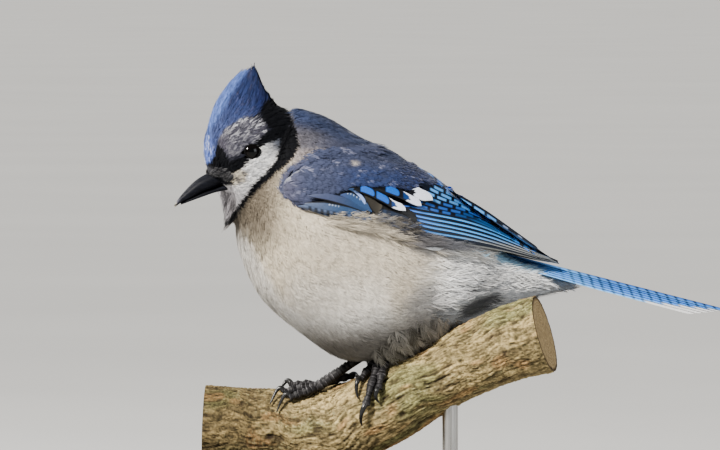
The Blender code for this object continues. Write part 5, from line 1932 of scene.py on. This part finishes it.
class JayOperator:
    """What the operators share: each runs the functions it names."""

    bl_options = {"REGISTER", "UNDO"}
    steps = ()

    def execute(self, context):
        for step in self.steps:
            step()
        return {"FINISHED"}


class JAY_OT_stage(JayOperator, bpy.types.Operator):
    """Add the floor, the studio lights and the camera"""

    bl_idname = "jay.stage"
    bl_label = "Stage"
    steps = (build_stage,)


class JAY_OT_stand(JayOperator, bpy.types.Operator):
    """Give the display stand its wood and its metal"""

    bl_idname = "jay.stand"
    bl_label = "Stand"
    steps = (build_stand,)


class JAY_OT_perch(JayOperator, bpy.types.Operator):
    """Build the length of branch with its bark and cut ends"""

    bl_idname = "jay.perch"
    bl_label = "Perch"
    steps = (build_perch,)


class JAY_OT_legs(JayOperator, bpy.types.Operator):
    """Build the scaled legs, the toes and the claws"""

    bl_idname = "jay.legs"
    bl_label = "Legs and claws"
    steps = (build_legs,)


class JAY_OT_bill(JayOperator, bpy.types.Operator):
    """Build both halves of the bill"""

    bl_idname = "jay.bill"
    bl_label = "Bill"
    steps = (build_bill,)


class JAY_OT_eyes(JayOperator, bpy.types.Operator):
    """Build the eyes and the rims of their lids"""

    bl_idname = "jay.eyes"
    bl_label = "Eyes"
    steps = (build_eyes,)


class JAY_OT_skin(JayOperator, bpy.types.Operator):
    """Build the one skin under the coat of the body and head"""

    bl_idname = "jay.skin"
    bl_label = "Skin"
    steps = (build_skin,)


class JAY_OT_tail(JayOperator, bpy.types.Operator):
    """Build the twelve tail feathers"""

    bl_idname = "jay.tail"
    bl_label = "Tail"
    steps = (build_tail,)


class JAY_OT_wings(JayOperator, bpy.types.Operator):
    """Build the flight feathers, coverts and shoulder plumage of both wings"""

    bl_idname = "jay.wings"
    bl_label = "Wings"
    steps = (build_wings, build_shoulders)


class JAY_OT_body_coat(JayOperator, bpy.types.Operator):
    """Cover the body in feathers"""

    bl_idname = "jay.body_coat"
    bl_label = "Body coat"
    steps = (build_body_coat,)


class JAY_OT_head_coat(JayOperator, bpy.types.Operator):
    """Cover the head and crest in feathers"""

    bl_idname = "jay.head_coat"
    bl_label = "Head coat"
    steps = (build_head_coat,)


OPERATORS = (
    JAY_OT_stage, JAY_OT_stand, JAY_OT_perch, JAY_OT_legs, JAY_OT_bill, JAY_OT_eyes, JAY_OT_skin,
    JAY_OT_tail, JAY_OT_wings, JAY_OT_body_coat, JAY_OT_head_coat,
)


class JAY_PT_panel(bpy.types.Panel):
    """The jay's pieces, sizes and colours"""

    bl_idname = "JAY_PT_panel"
    bl_label = "Perched blue jay"
    bl_space_type = "VIEW_3D"
    bl_region_type = "UI"
    bl_category = "Jay"

    def draw(self, context):
        column = self.layout.column(align=True)
        for operator in OPERATORS:
            column.operator(operator.bl_idname)
        for group in (context.scene.jay_sizes, context.scene.jay_colours):
            column = self.layout.column(align=True)
            for name in group.__annotations__:
                column.prop(group, name)


CLASSES = (JayColours, JaySizes, *OPERATORS, JAY_PT_panel)


def register():
    for each in CLASSES:
        bpy.utils.register_class(each)
    bpy.types.Scene.jay_colours = PointerProperty(type=JayColours)
    bpy.types.Scene.jay_sizes = PointerProperty(type=JaySizes)


def unregister():
    del bpy.types.Scene.jay_sizes
    del bpy.types.Scene.jay_colours
    for each in reversed(CLASSES):
        bpy.utils.unregister_class(each)


def main():
    register()
    for operator in OPERATORS:
        group, name = operator.bl_idname.split(".")
        getattr(getattr(bpy.ops, group), name)()


if __name__ == "__main__":
    main()
